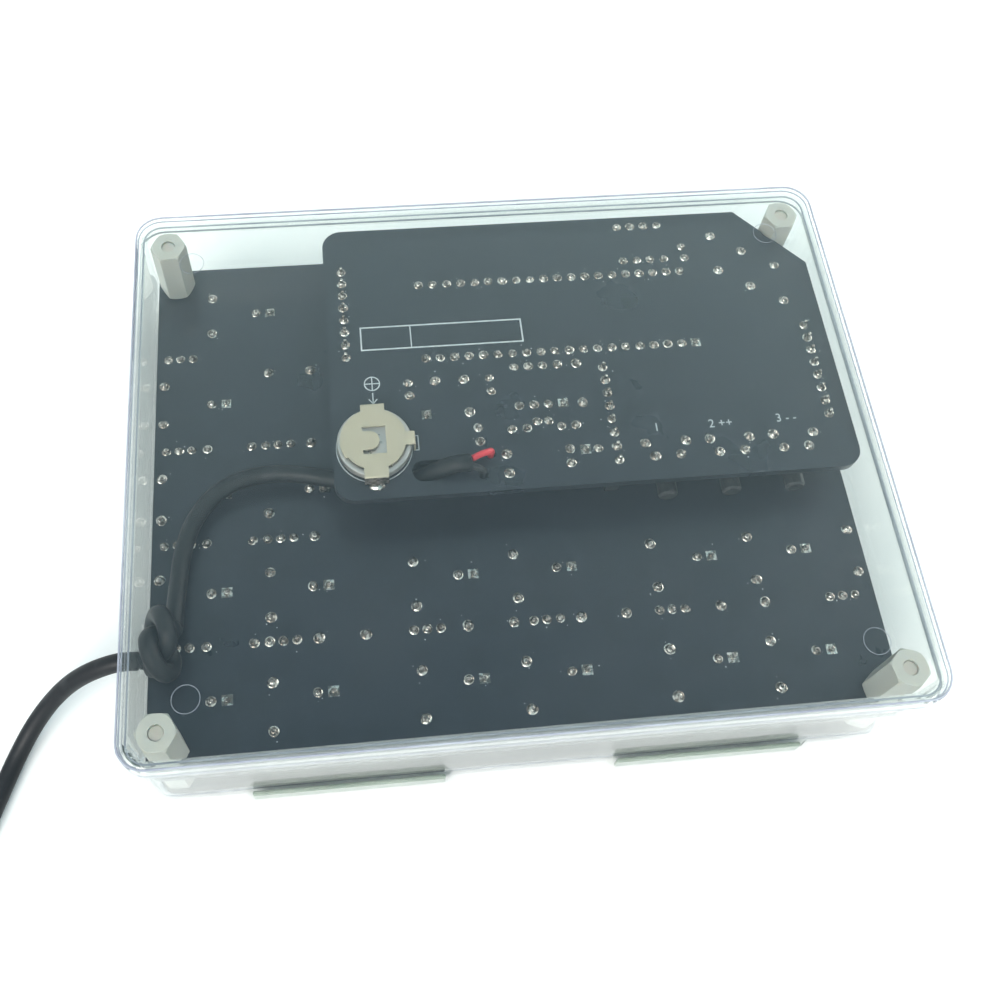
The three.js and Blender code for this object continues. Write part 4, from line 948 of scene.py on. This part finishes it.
class CLOCK_OT_boards(bpy.types.Operator):
    """Gives both boards their mask, and makes every solder joint on them"""

    bl_idname = "clock.boards"
    bl_label = "Boards and solder"

    def execute(self, context):
        dress("main_board", finish("main_board"))
        dress("control_board", finish("board_mask"))
        strips = [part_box(name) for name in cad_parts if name.startswith("pin_header")]
        for node, level, pinned in (("main_board", MAIN_REAR, []), ("control_board", CONTROL_REAR, strips)):
            draw = random.Random(node)
            places = joint_places(node, level)
            self.solder(node, level, places, pinned, draw)
            self.specks(node, level, places, draw)
        return {"FINISHED"}

    def template(self, square):
        """One joint of radius 1: a flat pad, a hollow-sided cone and the clipped end of the lead, whose end face has a
        painted dark reflection
        """
        height = sizes().joint_height
        bm = bmesh.new()
        foot = 0.72 if square else 1.0
        pad = [(foot, 0.0), (foot, 0.05 * MM), (0.86 * foot, 0.09 * MM), (0.72 * foot, height * 0.3)]
        tip = [(LEAD_RADIUS, height * 0.78), (LEAD_RADIUS, height * 0.98), (0.26, height), (0.0, height)]
        spun(bm, pad + [(radius, height * share) for radius, share in FLANK], 14, 1.0)
        spun(bm, tip, 10, 1.0)
        # The lead's end face gets the painted dark reflection
        for face in bm.faces:
            widest = max(v.co.xy.length for v in face.verts)
            if widest < LEAD_RADIUS + 0.005 and min(v.co.z for v in face.verts) > height * 0.77:
                face.material_index = 1
        if square:
            block(bm, (-SQUARE_HALF, -SQUARE_HALF, -0.05 * MM), (SQUARE_HALF, SQUARE_HALF, 0.08 * MM))
        outward(bm)
        return as_mesh(bm, "joint_template")

    def solder(self, node, level, places, strips, draw):
        """All joints of a board, each a little different, and the pin tips in the joints of the strips"""
        shapes = {square: self.template(square) for square in (False, True)}
        bm = bmesh.new()
        for middle, square in places:
            radius = joint_radius(middle, square, places) * draw.uniform(*JOINT_RADII)
            tilts = [math.radians(draw.uniform(*JOINT_TILTS)) for _ in range(2)]
            lean = Matrix.Identity(4) if square else turned(tilts[0], "X") @ turned(tilts[1], "Y")
            spin = turned(0.0 if square else draw.uniform(0, TURN))
            stretch = Matrix.Diagonal(
                (radius, radius * draw.uniform(*JOINT_ROUND), draw.uniform(*JOINT_TALL), 1.0))
            place = Matrix.Translation((middle.x, middle.y, level - 0.02 * MM))
            scatter(bm, shapes[square], [place @ lean @ stretch @ spin])
        for mesh in shapes.values():
            bpy.data.meshes.remove(mesh)
        for middle, _ in places:
            if any(low[0] < middle.x < high[0] and low[1] < middle.y < high[1] for low, high in strips):
                tip = Vector((middle.x, middle.y, level + PIN_RISE))
                low = tip - Vector((PIN_HALF, PIN_HALF, PIN_RISE))
                block(bm, low, tip + Vector((PIN_HALF, PIN_HALF, 0.0)), 0.1 * MM, 1)
        piece("solder_" + node, bm, "solder lead_end", sharp=50.0)

    def specks(self, node, level, places, draw):
        """Beads of flux and grains of dust near the joints, half sunk in the board's surface"""
        low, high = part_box(node)
        bm = bmesh.new()
        for middle, _ in places:
            for _ in range(draw.choice(SPECK_COUNTS)):
                reach = Vector((draw.uniform(*SPECK_REACH) * MM, 0))
                place = middle + reach @ Matrix.Rotation(draw.uniform(0, TURN), 2)
                shares = [(place[i] - low[i]) / (high[i] - low[i]) for i in (0, 1)]
                inside = SPECK_MARGIN < min(shares) and max(shares) < 1 - SPECK_MARGIN
                if inside and sum(shares) < SPECK_DIAGONAL[node]:
                    size = draw.uniform(*SPECK_SIZES) * MM
                    grow = Matrix.Diagonal((size * draw.uniform(*SPECK_LONG), size, size * 0.7, 1.0))
                    spot = Matrix.Translation((*place, level)) @ turned(draw.uniform(0, TURN)) @ grow
                    bmesh.ops.create_icosphere(bm, subdivisions=1, radius=1.0, matrix=spot)
        piece("specks_" + node, bm, "ink")


# Print on the control board, in millimetres. Bars: the sign frame with its divider, the cross in the
# ring, the arrow's shaft, and the bracket beside the clip.
BARS = (
    (-23.4, 20.5, 5.4, 20.76), (-23.4, 25.04, 5.4, 25.3), (-23.4, 20.76, -23.14, 25.04), (5.14, 20.76, 5.4, 25.04),
    (-14.6, 20.8, -14.4, 25.0),
    (-23.15, 13.8, -20.65, 14.0), (-22.0, 12.65, -21.8, 15.15),
    (-22.0, 10.1, -21.8, 12.1),
    (-15.7, 3.4, -14.75, 3.58), (-15.7, 0.75, -14.75, 0.93), (-14.93, 0.75, -14.75, 3.58),
)
# Rings round the cross and round the cell: middle, outer and inner radius
RINGS = (((-21.9, 13.9), 1.4, 1.2), ((-22.23, 1.84), 6.45, 6.28))
ARROW_TIP = (-21.9, 10.0)
ARROW_SIDE = (0.7, 0.9)
STROKE = 0.2
# Plain numbers and signs beside the switches
MARKS = (("1", 25.4, 1.35), ("2 ++", 35.0, 1.35), ("3 - -", 46.9, 1.6))
MARK_SIZE = 2.2 * MM


class CLOCK_OT_print(bpy.types.Operator):
    """Prints the plain marks on the rear of the control board"""

    bl_idname = "clock.print"
    bl_label = "Board print"

    def execute(self, context):
        bm = bmesh.new()
        level = CONTROL_REAR
        top = level + sizes().ink_height
        for x0, y0, x1, y1 in BARS:
            block(bm, (x0 * MM, y0 * MM, level - 0.01 * MM), (x1 * MM, y1 * MM, top))
        for ring in RINGS:
            self.ring(bm, *ring, level, top)
        for side in (-1, 1):
            end = (ARROW_TIP[0] + side * ARROW_SIDE[0], ARROW_TIP[1] + ARROW_SIDE[1])
            self.stroke(bm, mm(*ARROW_TIP), mm(*end), level, top)
        piece("board_print", bm, "ink", smooth=False)
        for text, x, y in MARKS:
            self.mark(text, x, y)
        return {"FINISHED"}

    def ring(self, bm, centre, outer, inner, low, high):
        section = ((inner, low), (outer, low), (outer, high), (inner, high))
        verts, edges = looped(bm, [((centre[0] + r) * MM, centre[1] * MM, z) for r, z in section])
        bmesh.ops.spin(
            bm, geom=verts + edges, cent=mm(*centre, 0), axis=UP, angle=TURN, steps=40, use_merge=True)

    def stroke(self, bm, start, end, low, high):
        made = bmesh.ops.create_cube(bm, size=1.0)
        along = end - start
        place = Matrix.Translation((*((start + end) / 2), (low + high) / 2))
        grow = Matrix.Diagonal((along.length, STROKE * MM, high - low, 1.0))
        matrix = place @ turned(math.atan2(along.y, along.x)) @ grow
        bmesh.ops.transform(bm, matrix=matrix, verts=made["verts"])

    def mark(self, text, x, y):
        name = "mark_" + text[0]
        data = bpy.data.curves.new("mark", "FONT")
        data.body = text
        data.size = MARK_SIZE
        data.extrude = sizes().ink_height / 2
        made = added(name, data)
        mesh = bpy.data.meshes.new_from_object(made.evaluated_get(bpy.context.evaluated_depsgraph_get()))
        bpy.data.objects.remove(made)
        mesh.transform(Matrix.Translation((x * MM, y * MM, CONTROL_REAR + sizes().ink_height / 2)))
        made = added(name, mesh)
        mesh.materials.clear()
        mesh.materials.append(finish("ink"))
        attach(made, "clock_body")


# Tabs of the clip: quarter turns from the right, and width in millimetres
TABS = ((0, 2.4), (1, 4.0), (3, 4.0))
TAB_START = 4.6 * MM
CLIP_RADIUS = 5.7 * MM
CLIP_BEND = 0.38 * MM
BEND_ANGLES = (0.4, 0.8, 1.2, TURN / 4)


class CLOCK_OT_clip(bpy.types.Operator):
    """Makes the coin cell and the spring clip that holds it"""

    bl_idname = "clock.clip"
    bl_label = "Cell and clip"

    def execute(self, context):
        low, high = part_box("coin_cell")
        x, y = (low[0] + high[0]) / 2, (low[1] + high[1]) / 2
        self.cell(x, y, low[2], high[2])
        self.clip(x, y, high[2] + SEAT)
        return {"FINISHED"}

    def cell(self, x, y, low, high):
        """The smaller cap below a gasket groove, and the can with its rolled edge above it"""
        radius = sizes().cell_radius / MM
        cap, tall = radius - 0.55, (high - low) / MM
        profile = [
            (0.0, 0.0), (cap - 0.15, 0.0), (cap, 0.15), (cap, 0.45), (radius - 0.2, 0.5), (radius, 0.65),
            (radius, tall - 0.35), (radius - 0.12, tall - 0.1), (radius - 0.35, tall), (radius - 0.9, tall),
            (radius - 1.0, tall - 0.06), (0.0, tall - 0.06),
        ]
        bm = bmesh.new()
        spun(bm, profile, 72)
        bmesh.ops.translate(bm, verts=bm.verts[:], vec=(x, y, low))
        outward(bm)
        made = piece("cell", bm, "cell_metal", body="cell")
        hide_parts("coin_cell")

    def clip(self, x, y, low):
        bm = bmesh.new()
        disc = bmesh.ops.create_circle(bm, cap_ends=True, segments=120, radius=CLIP_RADIUS)["verts"]
        for vert in disc:
            vert.co *= self.reach(math.degrees(math.atan2(vert.co.y, vert.co.x)) % 360)
        bmesh.ops.translate(bm, verts=disc, vec=(x, y, low))
        bmesh.ops.delete(bm, geom=faces_of(disc), context="FACES_ONLY")
        rim = bm.edges[:]
        bmesh.ops.triangle_fill(bm, use_beauty=True, edges=rim + self.window(bm, x, y, low))
        raised(bm, bm.faces[:], (0, 0, SHEET))
        outward(bm)
        reach = sizes().cell_radius + 0.55 * MM
        for quarters, width in TABS:
            place = Matrix.Translation((x, y, 0)) @ turned(quarters * TURN / 4)
            self.tab(bm, place, width * MM, reach, low)
        # Painted shade: the clip's outer sides, where the tabs bend down, get the dark metal
        for face in bm.faces:
            outer = (face.calc_center_median().xy - Vector((x, y))).length > 6.5 * MM
            if outer and abs(face.normal.z) < 0.5:
                face.material_index = 1
        blob = bmesh.ops.create_uvsphere(bm, u_segments=20, v_segments=10, radius=1.0)["verts"]
        bmesh.ops.scale(bm, vec=mm(1.3, 0.8, 0.5), verts=blob)
        bmesh.ops.translate(bm, vec=(x, y - 7.1 * MM, CONTROL_REAR), verts=blob)
        for face in faces_of(blob):
            face.material_index = 2
        made = piece("cell_clip", bm, "clip_metal lead_end solder", sharp=40.0)
        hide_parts("battery_clip")

    def reach(self, angle):
        """Share of the full radius at an angle: the sheet is drawn in on the right and cut back below"""
        if 210 < angle < 348:
            return 0.92
        if angle <= 60 or angle >= 348:
            return 0.925 + 0.075 * (angle if angle <= 60 else 0) / 60
        return 1.0

    def window(self, bm, x, y, level):
        """Outline of the window round its spring tongue, which stays joined at the left"""
        left, right = x - 1.95 * MM, x + 1.95 * MM
        half, tongue = 2.5 * MM, 1.7 * MM
        root = x + 0.85 * MM - tongue
        points = [
            (left, y - half), (right, y - half), (right, y + half), (left, y + half),
            (left, y + tongue), (root, y + tongue),
        ]
        for step in range(1, 12):
            angle = TURN / 4 - step / 12 * TURN / 2
            points.append((root + tongue * math.cos(angle), y + tongue * math.sin(angle)))
        points += [(root, y - tongue), (left, y - tongue)]
        return looped(bm, [(*point, level) for point in points])[1]

    def tab(self, bm, place, width, reach, low):
        """A tab that runs out over the cell, bends down its side and stands on the board"""
        foot = CONTROL_REAR + SEAT
        high = low + SHEET
        turn_x, turn_z = reach - CLIP_BEND, high - CLIP_BEND
        fold = CLIP_BEND - SHEET
        inner = [(turn_x + fold * math.sin(a), turn_z + fold * math.cos(a)) for a in BEND_ANGLES]
        outer = [
            (turn_x + CLIP_BEND * math.sin(a), turn_z + CLIP_BEND * math.cos(a)) for a in (*BEND_ANGLES[::-1], 0.0)]
        outline = [
            (TAB_START, low), (turn_x, low), *inner, (reach - SHEET, foot), (reach, foot), *outer, (TAB_START, high)]
        verts = [bm.verts.new((px, -width / 2, pz)) for px, pz in outline]
        verts += raised(bm, [bm.faces.new(verts)], (0, width, 0))
        bmesh.ops.recalc_face_normals(bm, faces=faces_of(verts))
        bmesh.ops.transform(bm, matrix=place, verts=verts)


LAMPS = sorted(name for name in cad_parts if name.startswith("lamp_"))
LAMP_MIDDLE = 2.9 * MM
# Rim of a lens above its straight side, in millimetres
LENS_RIM = [(2.85, 7.62), (2.9, 7.7), (2.9, 8.55), (2.85, 8.6), (0.0, 8.6)]
DOME_STEPS = 8
# Cup, post and their legs: the corners in millimetres, the bevel and its segments
LEAD_FRAME = (
    ((-1.55, -0.22, 3.6), (0.35, 0.22, 5.3), 0.12, 2), ((0.75, -0.22, 4.0), (1.6, 0.22, 5.3), 0.12, 2),
    ((-1.5, -0.2, 5.2), (-1.04, 0.2, 8.5), 0.04, 1), ((1.04, -0.2, 5.2), (1.5, 0.2, 8.5), 0.04, 1),
)


def lamp_place(name):
    """Middle of a lamp's lens at its front end"""
    low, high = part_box(name)
    return Vector((low[0] + LAMP_MIDDLE, (low[1] + high[1]) / 2, low[2]))


class CLOCK_OT_lamps(bpy.types.Operator):
    """Makes the lens and the lead frame of every lamp"""

    bl_idname = "clock.lamps"
    bl_label = "Lamps"

    def execute(self, context):
        lens, metal = self.lens(), self.lead_frame()
        for name in LAMPS:
            place = Matrix.Translation(lamp_place(name))
            bm = bmesh.new()
            scatter(bm, lens, [place])
            made = piece("lens_" + name[5:], bm, "clear_lens", sharp=40.0)
            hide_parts(name)
            bm = bmesh.new()
            scatter(bm, metal, [place])
            piece("frame_" + name[5:], bm, "cell_metal")
        for mesh in (lens, metal):
            bpy.data.meshes.remove(mesh)
        return {"FINISHED"}

    def lens(self):
        """A domed lens with its rim, flattened on one side"""
        radius = sizes().lamp_radius / MM
        bm = bmesh.new()
        angles = [step / DOME_STEPS * TURN / 4 for step in range(DOME_STEPS + 1)]
        dome = [(radius * math.sin(a), radius * (1 - math.cos(a))) for a in angles]
        spun(bm, dome + [(radius, 7.5), (radius + 0.1, 7.6)] + LENS_RIM, 36)
        cut = bmesh.ops.bisect_plane(
            bm, geom=bm.verts[:] + bm.edges[:] + bm.faces[:], plane_co=mm(radius * 0.995, 0, 0),
            plane_no=(1, 0, 0), clear_outer=True)
        edges = [e for e in cut["geom_cut"] if isinstance(e, bmesh.types.BMEdge)]
        bmesh.ops.holes_fill(bm, edges=edges, sides=0)
        outward(bm)
        return as_mesh(bm, "lens_template")

    def lead_frame(self):
        """Cup and post, whose legs run up to the board"""
        bm = bmesh.new()
        for low, high, bevel, segments in LEAD_FRAME:
            block(bm, mm(*low), mm(*high), bevel * MM, segments)
        return as_mesh(bm, "frame_template")


# Places of the resistors, read from their joints: along X from a lamp, as shares of the lamps' pitch
LAMP_PITCH = 17.5 * MM
FLAT_SHARES = {
    "second_unit": -0.115, "second_ten": -0.04, "minute_unit": -0.026, "minute_ten": 0.09, "hour_unit": 0.063,
}
UPRIGHT_SHARES = {
    "second_unit": -0.554, "second_ten": -0.474, "minute_unit": -0.494, "minute_ten": -0.48, "hour_unit": -0.508,
    "hour_ten": -0.486,
}
LAMP_LOW = -35.3 * MM
UPRIGHT_PITCH = 18.2 * MM
UPRIGHT_DROP = 1.65 * MM
APART_UPRIGHTS = [(-50.35, 35.73), (58.38, -18.75)]
APART_FLAT = (-36.46, 23.0)
# Both ends of a part on the control board, as shares of the board's sides
CONTROL_SHARES = [
    ((0.483, 0.428), (0.484, 0.283)), ((0.812, 0.9), (0.811, 0.758)),
    ((0.869, 0.832), (0.87, 0.687)), ((0.931, 0.766), (0.931, 0.622)),
]
CAPACITOR_SHARES = [((0.151, 0.394), (0.152, 0.347)), ((0.309, 0.394), (0.31, 0.345)), ((0.277, 0.218), (0.277, 0.17))]
# A resistor, in millimetres: its barrel's outline, the start and index of each band, and its leads
BARREL = [
    (0.0, -3.1), (0.7, -3.05), (1.05, -2.7), (1.12, -2.3), (1.05, -1.9), (0.9, -1.6), (0.9, 1.6), (1.05, 1.9),
    (1.12, 2.3), (1.05, 2.7), (0.7, 3.05), (0.0, 3.1),
]
BANDS = ((-2.5, 1), (-1.2, 1), (-0.3, 1), (2.1, 2))
BAND_WIDE = 0.45
LEAD_REACH = 3.81
BARREL_LEVEL = 1.35 * MM


class CLOCK_OT_small_parts(bpy.types.Operator):
    """Makes the resistors and capacitors that the solids leave out"""

    bl_idname = "clock.small_parts"
    bl_label = "Small parts"

    def execute(self, context):
        barrel = self.barrel()
        self.barrels("front_resistors", barrel, self.front_places())
        level = CONTROL_FRONT - BARREL_LEVEL
        ends = [self.on_board(pair, level) for pair in CONTROL_SHARES]
        upright = turned(TURN / 4)
        self.barrels("control_resistors", barrel, [Matrix.Translation((a + b) / 2) @ upright for a, b in ends])
        bpy.data.meshes.remove(barrel)
        bm = bmesh.new()
        for pair in CAPACITOR_SHARES:
            self.disc(bm, *self.on_board(pair, CONTROL_FRONT))
        piece("disc_capacitors", bm, "ceramic solder")
        return {"FINISHED"}

    def front_places(self):
        """Matrices of the resistors on the main board: flat ones above their lamps, upright ones beside them"""
        matrices = []
        level = MAIN_FRONT - BARREL_LEVEL
        upright = turned(TURN / 4)
        for name in LAMPS:
            x, y, _ = lamp_place(name)
            column = name[5:].rsplit("_", 1)[0]
            if column in FLAT_SHARES and name != "lamp_second_unit_8":
                start = x + FLAT_SHARES[column] * LAMP_PITCH
                matrices.append(Matrix.Translation((start + LEAD_REACH * MM, y + LAMP_PITCH / 2, level)))
            if name != "lamp_second_unit_1":
                height = LAMP_LOW + round((y - LAMP_LOW) / LAMP_PITCH) * UPRIGHT_PITCH - UPRIGHT_DROP
                place = (x + UPRIGHT_SHARES[column] * LAMP_PITCH, height, level)
                matrices.append(Matrix.Translation(place) @ upright)
        for x, y in APART_UPRIGHTS:
            matrices.append(Matrix.Translation((x * MM, y * MM, level)) @ upright)
        matrices.append(Matrix.Translation((APART_FLAT[0] * MM, APART_FLAT[1] * MM, level)))
        return matrices

    def on_board(self, pair, level):
        """Two places on the control board, given as shares of its sides"""
        low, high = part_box("control_board")
        return [Vector((*(low[i] + share[i] * (high[i] - low[i]) for i in (0, 1)), level)) for share in pair]

    def barrels(self, name, barrel, matrices):
        bm = bmesh.new()
        scatter(bm, barrel, matrices)
        piece(name, bm, "banded_resistor brown_band gold_band solder")

    def barrel(self):
        """A resistor lying along X: swollen ends, colour bands and bent leads"""
        bm = bmesh.new()
        spun(bm, BARREL, 16)
        for start, index in BANDS:
            radius = 1.135 if abs(start) > 1.8 else 0.915
            spun(bm, [(radius, start), (radius, start + BAND_WIDE)], 16)
            for face in bm.faces:
                heights = [v.co.z / MM for v in face.verts]
                within = start - 0.01 < min(heights) and max(heights) < start + BAND_WIDE + 0.01
                if within and min(v.co.xy.length for v in face.verts) > (radius - 0.002) * MM:
                    face.material_index = index
        bmesh.ops.rotate(bm, verts=bm.verts[:], matrix=Matrix.Rotation(TURN / 4, 3, "Y"))
        outward(bm)
        for side in (-1, 1):
            rod(bm, mm(side * 3.0, 0, 0), mm(side * 3.85, 0, 0), 0.28 * MM, 3)
            rod(bm, mm(side * LEAD_REACH, 0, -0.25), mm(side * LEAD_REACH, 0, 1.5), 0.28 * MM, 3)
        return as_mesh(bm, "barrel_template")

    def disc(self, bm, a, b):
        """A ceramic disc hanging on two leads"""
        verts = bmesh.ops.create_uvsphere(bm, u_segments=20, v_segments=12, radius=2.3 * MM)["verts"]
        bmesh.ops.scale(bm, vec=(0.48, 1.0, 1.0), verts=verts)
        bmesh.ops.translate(bm, vec=(a + b) / 2 - mm(0, 0, 3.6), verts=verts)
        for end in (a, b):
            rod(bm, end - mm(0, 0, 3.2), end + mm(0, 0, 0.1), 0.27 * MM, 1)


# Solids that keep their shape and get one finish, by the start of their names
HARDWARE = {
    "rear_standoff": "nylon", "front_spacer": "nylon", "socket_strip": "black_plastic",
    "push_button": "black_plastic", "mcu_socket": "black_plastic", "diode": "black_plastic",
    "crystal": "cell_metal", "watch_crystal": "cell_metal",
}
# Half of each chip's moulded body along Y
CHIP_HALF = {"mcu": 6.7 * MM, "lower_chip": 3.2 * MM, "upper_chip": 3.2 * MM}
STANDOFF = "rear_standoff_"
CORE_OUTLINE = [(0.0, -3.0), (1.22, -3.0), (1.22, -0.55), (1.05, -0.4), (0.0, -0.4)]


class CLOCK_OT_hardware(bpy.types.Operator):
    """Gives stand-offs, strips, chips, crystals and switches their finishes"""

    bl_idname = "clock.hardware"
    bl_label = "Hardware"

    def execute(self, context):
        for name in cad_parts:
            for start, material in HARDWARE.items():
                if name.startswith(start):
                    dress(name, finish(material))
            if name.startswith(STANDOFF):
                self.core(name)
            elif name.startswith("pin_header"):
                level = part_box(name)[1][2] - 2.02 * MM
                dress(name, pinned_strip_finish(level))
            elif name.startswith("push_switch"):
                low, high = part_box(name)
                middle, rear = (low[0] + high[0]) / 2, high[1] - 0.21 * MM
                dress(name, bracketed_switch_finish(middle, 3.12 * MM, rear))
            elif name in CHIP_HALF:
                low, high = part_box(name)
                dress(name, legged_chip_finish((low[1] + high[1]) / 2, CHIP_HALF[name]))
        return {"FINISHED"}

    def core(self, name):
        """The thread's bottom, a little below a stand-off's open end, in a darker, warmer nylon that paints the shade
        in the hole
        """
        low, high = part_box(name)
        middle = Vector(((low[0] + high[0]) / 2, (low[1] + high[1]) / 2, high[2]))
        bm = bmesh.new()
        spun(bm, CORE_OUTLINE, 24)
        bmesh.ops.translate(bm, verts=bm.verts[:], vec=middle)
        outward(bm)
        piece("core_" + name[len(STANDOFF):], bm, "nylon_core")


OPERATORS = (
    CLOCK_OT_stage, CLOCK_OT_lead, CLOCK_OT_inner_lead, CLOCK_OT_case, CLOCK_OT_boards, CLOCK_OT_print,
    CLOCK_OT_clip, CLOCK_OT_lamps, CLOCK_OT_small_parts, CLOCK_OT_hardware,
)


class CLOCK_PT_sidebar(bpy.types.Panel):
    """Lists the clock's pieces and sizes in the sidebar"""

    bl_label = "Binary clock"
    bl_space_type = "VIEW_3D"
    bl_region_type = "UI"
    bl_category = "Clock"

    def draw(self, context):
        for operator in OPERATORS:
            self.layout.operator(operator.bl_idname)
        for group in (context.scene.clock_sizes, context.scene.clock_colours):
            for key in group.__annotations__:
                self.layout.prop(group, key)


CLASSES = (ClockSizes, ClockColours, *OPERATORS, CLOCK_PT_sidebar)


def register():
    for cls in CLASSES:
        bpy.utils.register_class(cls)
    bpy.types.Scene.clock_sizes = PointerProperty(type=ClockSizes)
    bpy.types.Scene.clock_colours = PointerProperty(type=ClockColours)


def unregister():
    del bpy.types.Scene.clock_colours
    del bpy.types.Scene.clock_sizes
    for cls in reversed(CLASSES):
        bpy.utils.unregister_class(cls)


def main():
    register()
    for operator in OPERATORS:
        category, name = operator.bl_idname.split(".")
        getattr(getattr(bpy.ops, category), name)()


if __name__ == "__main__":
    main()
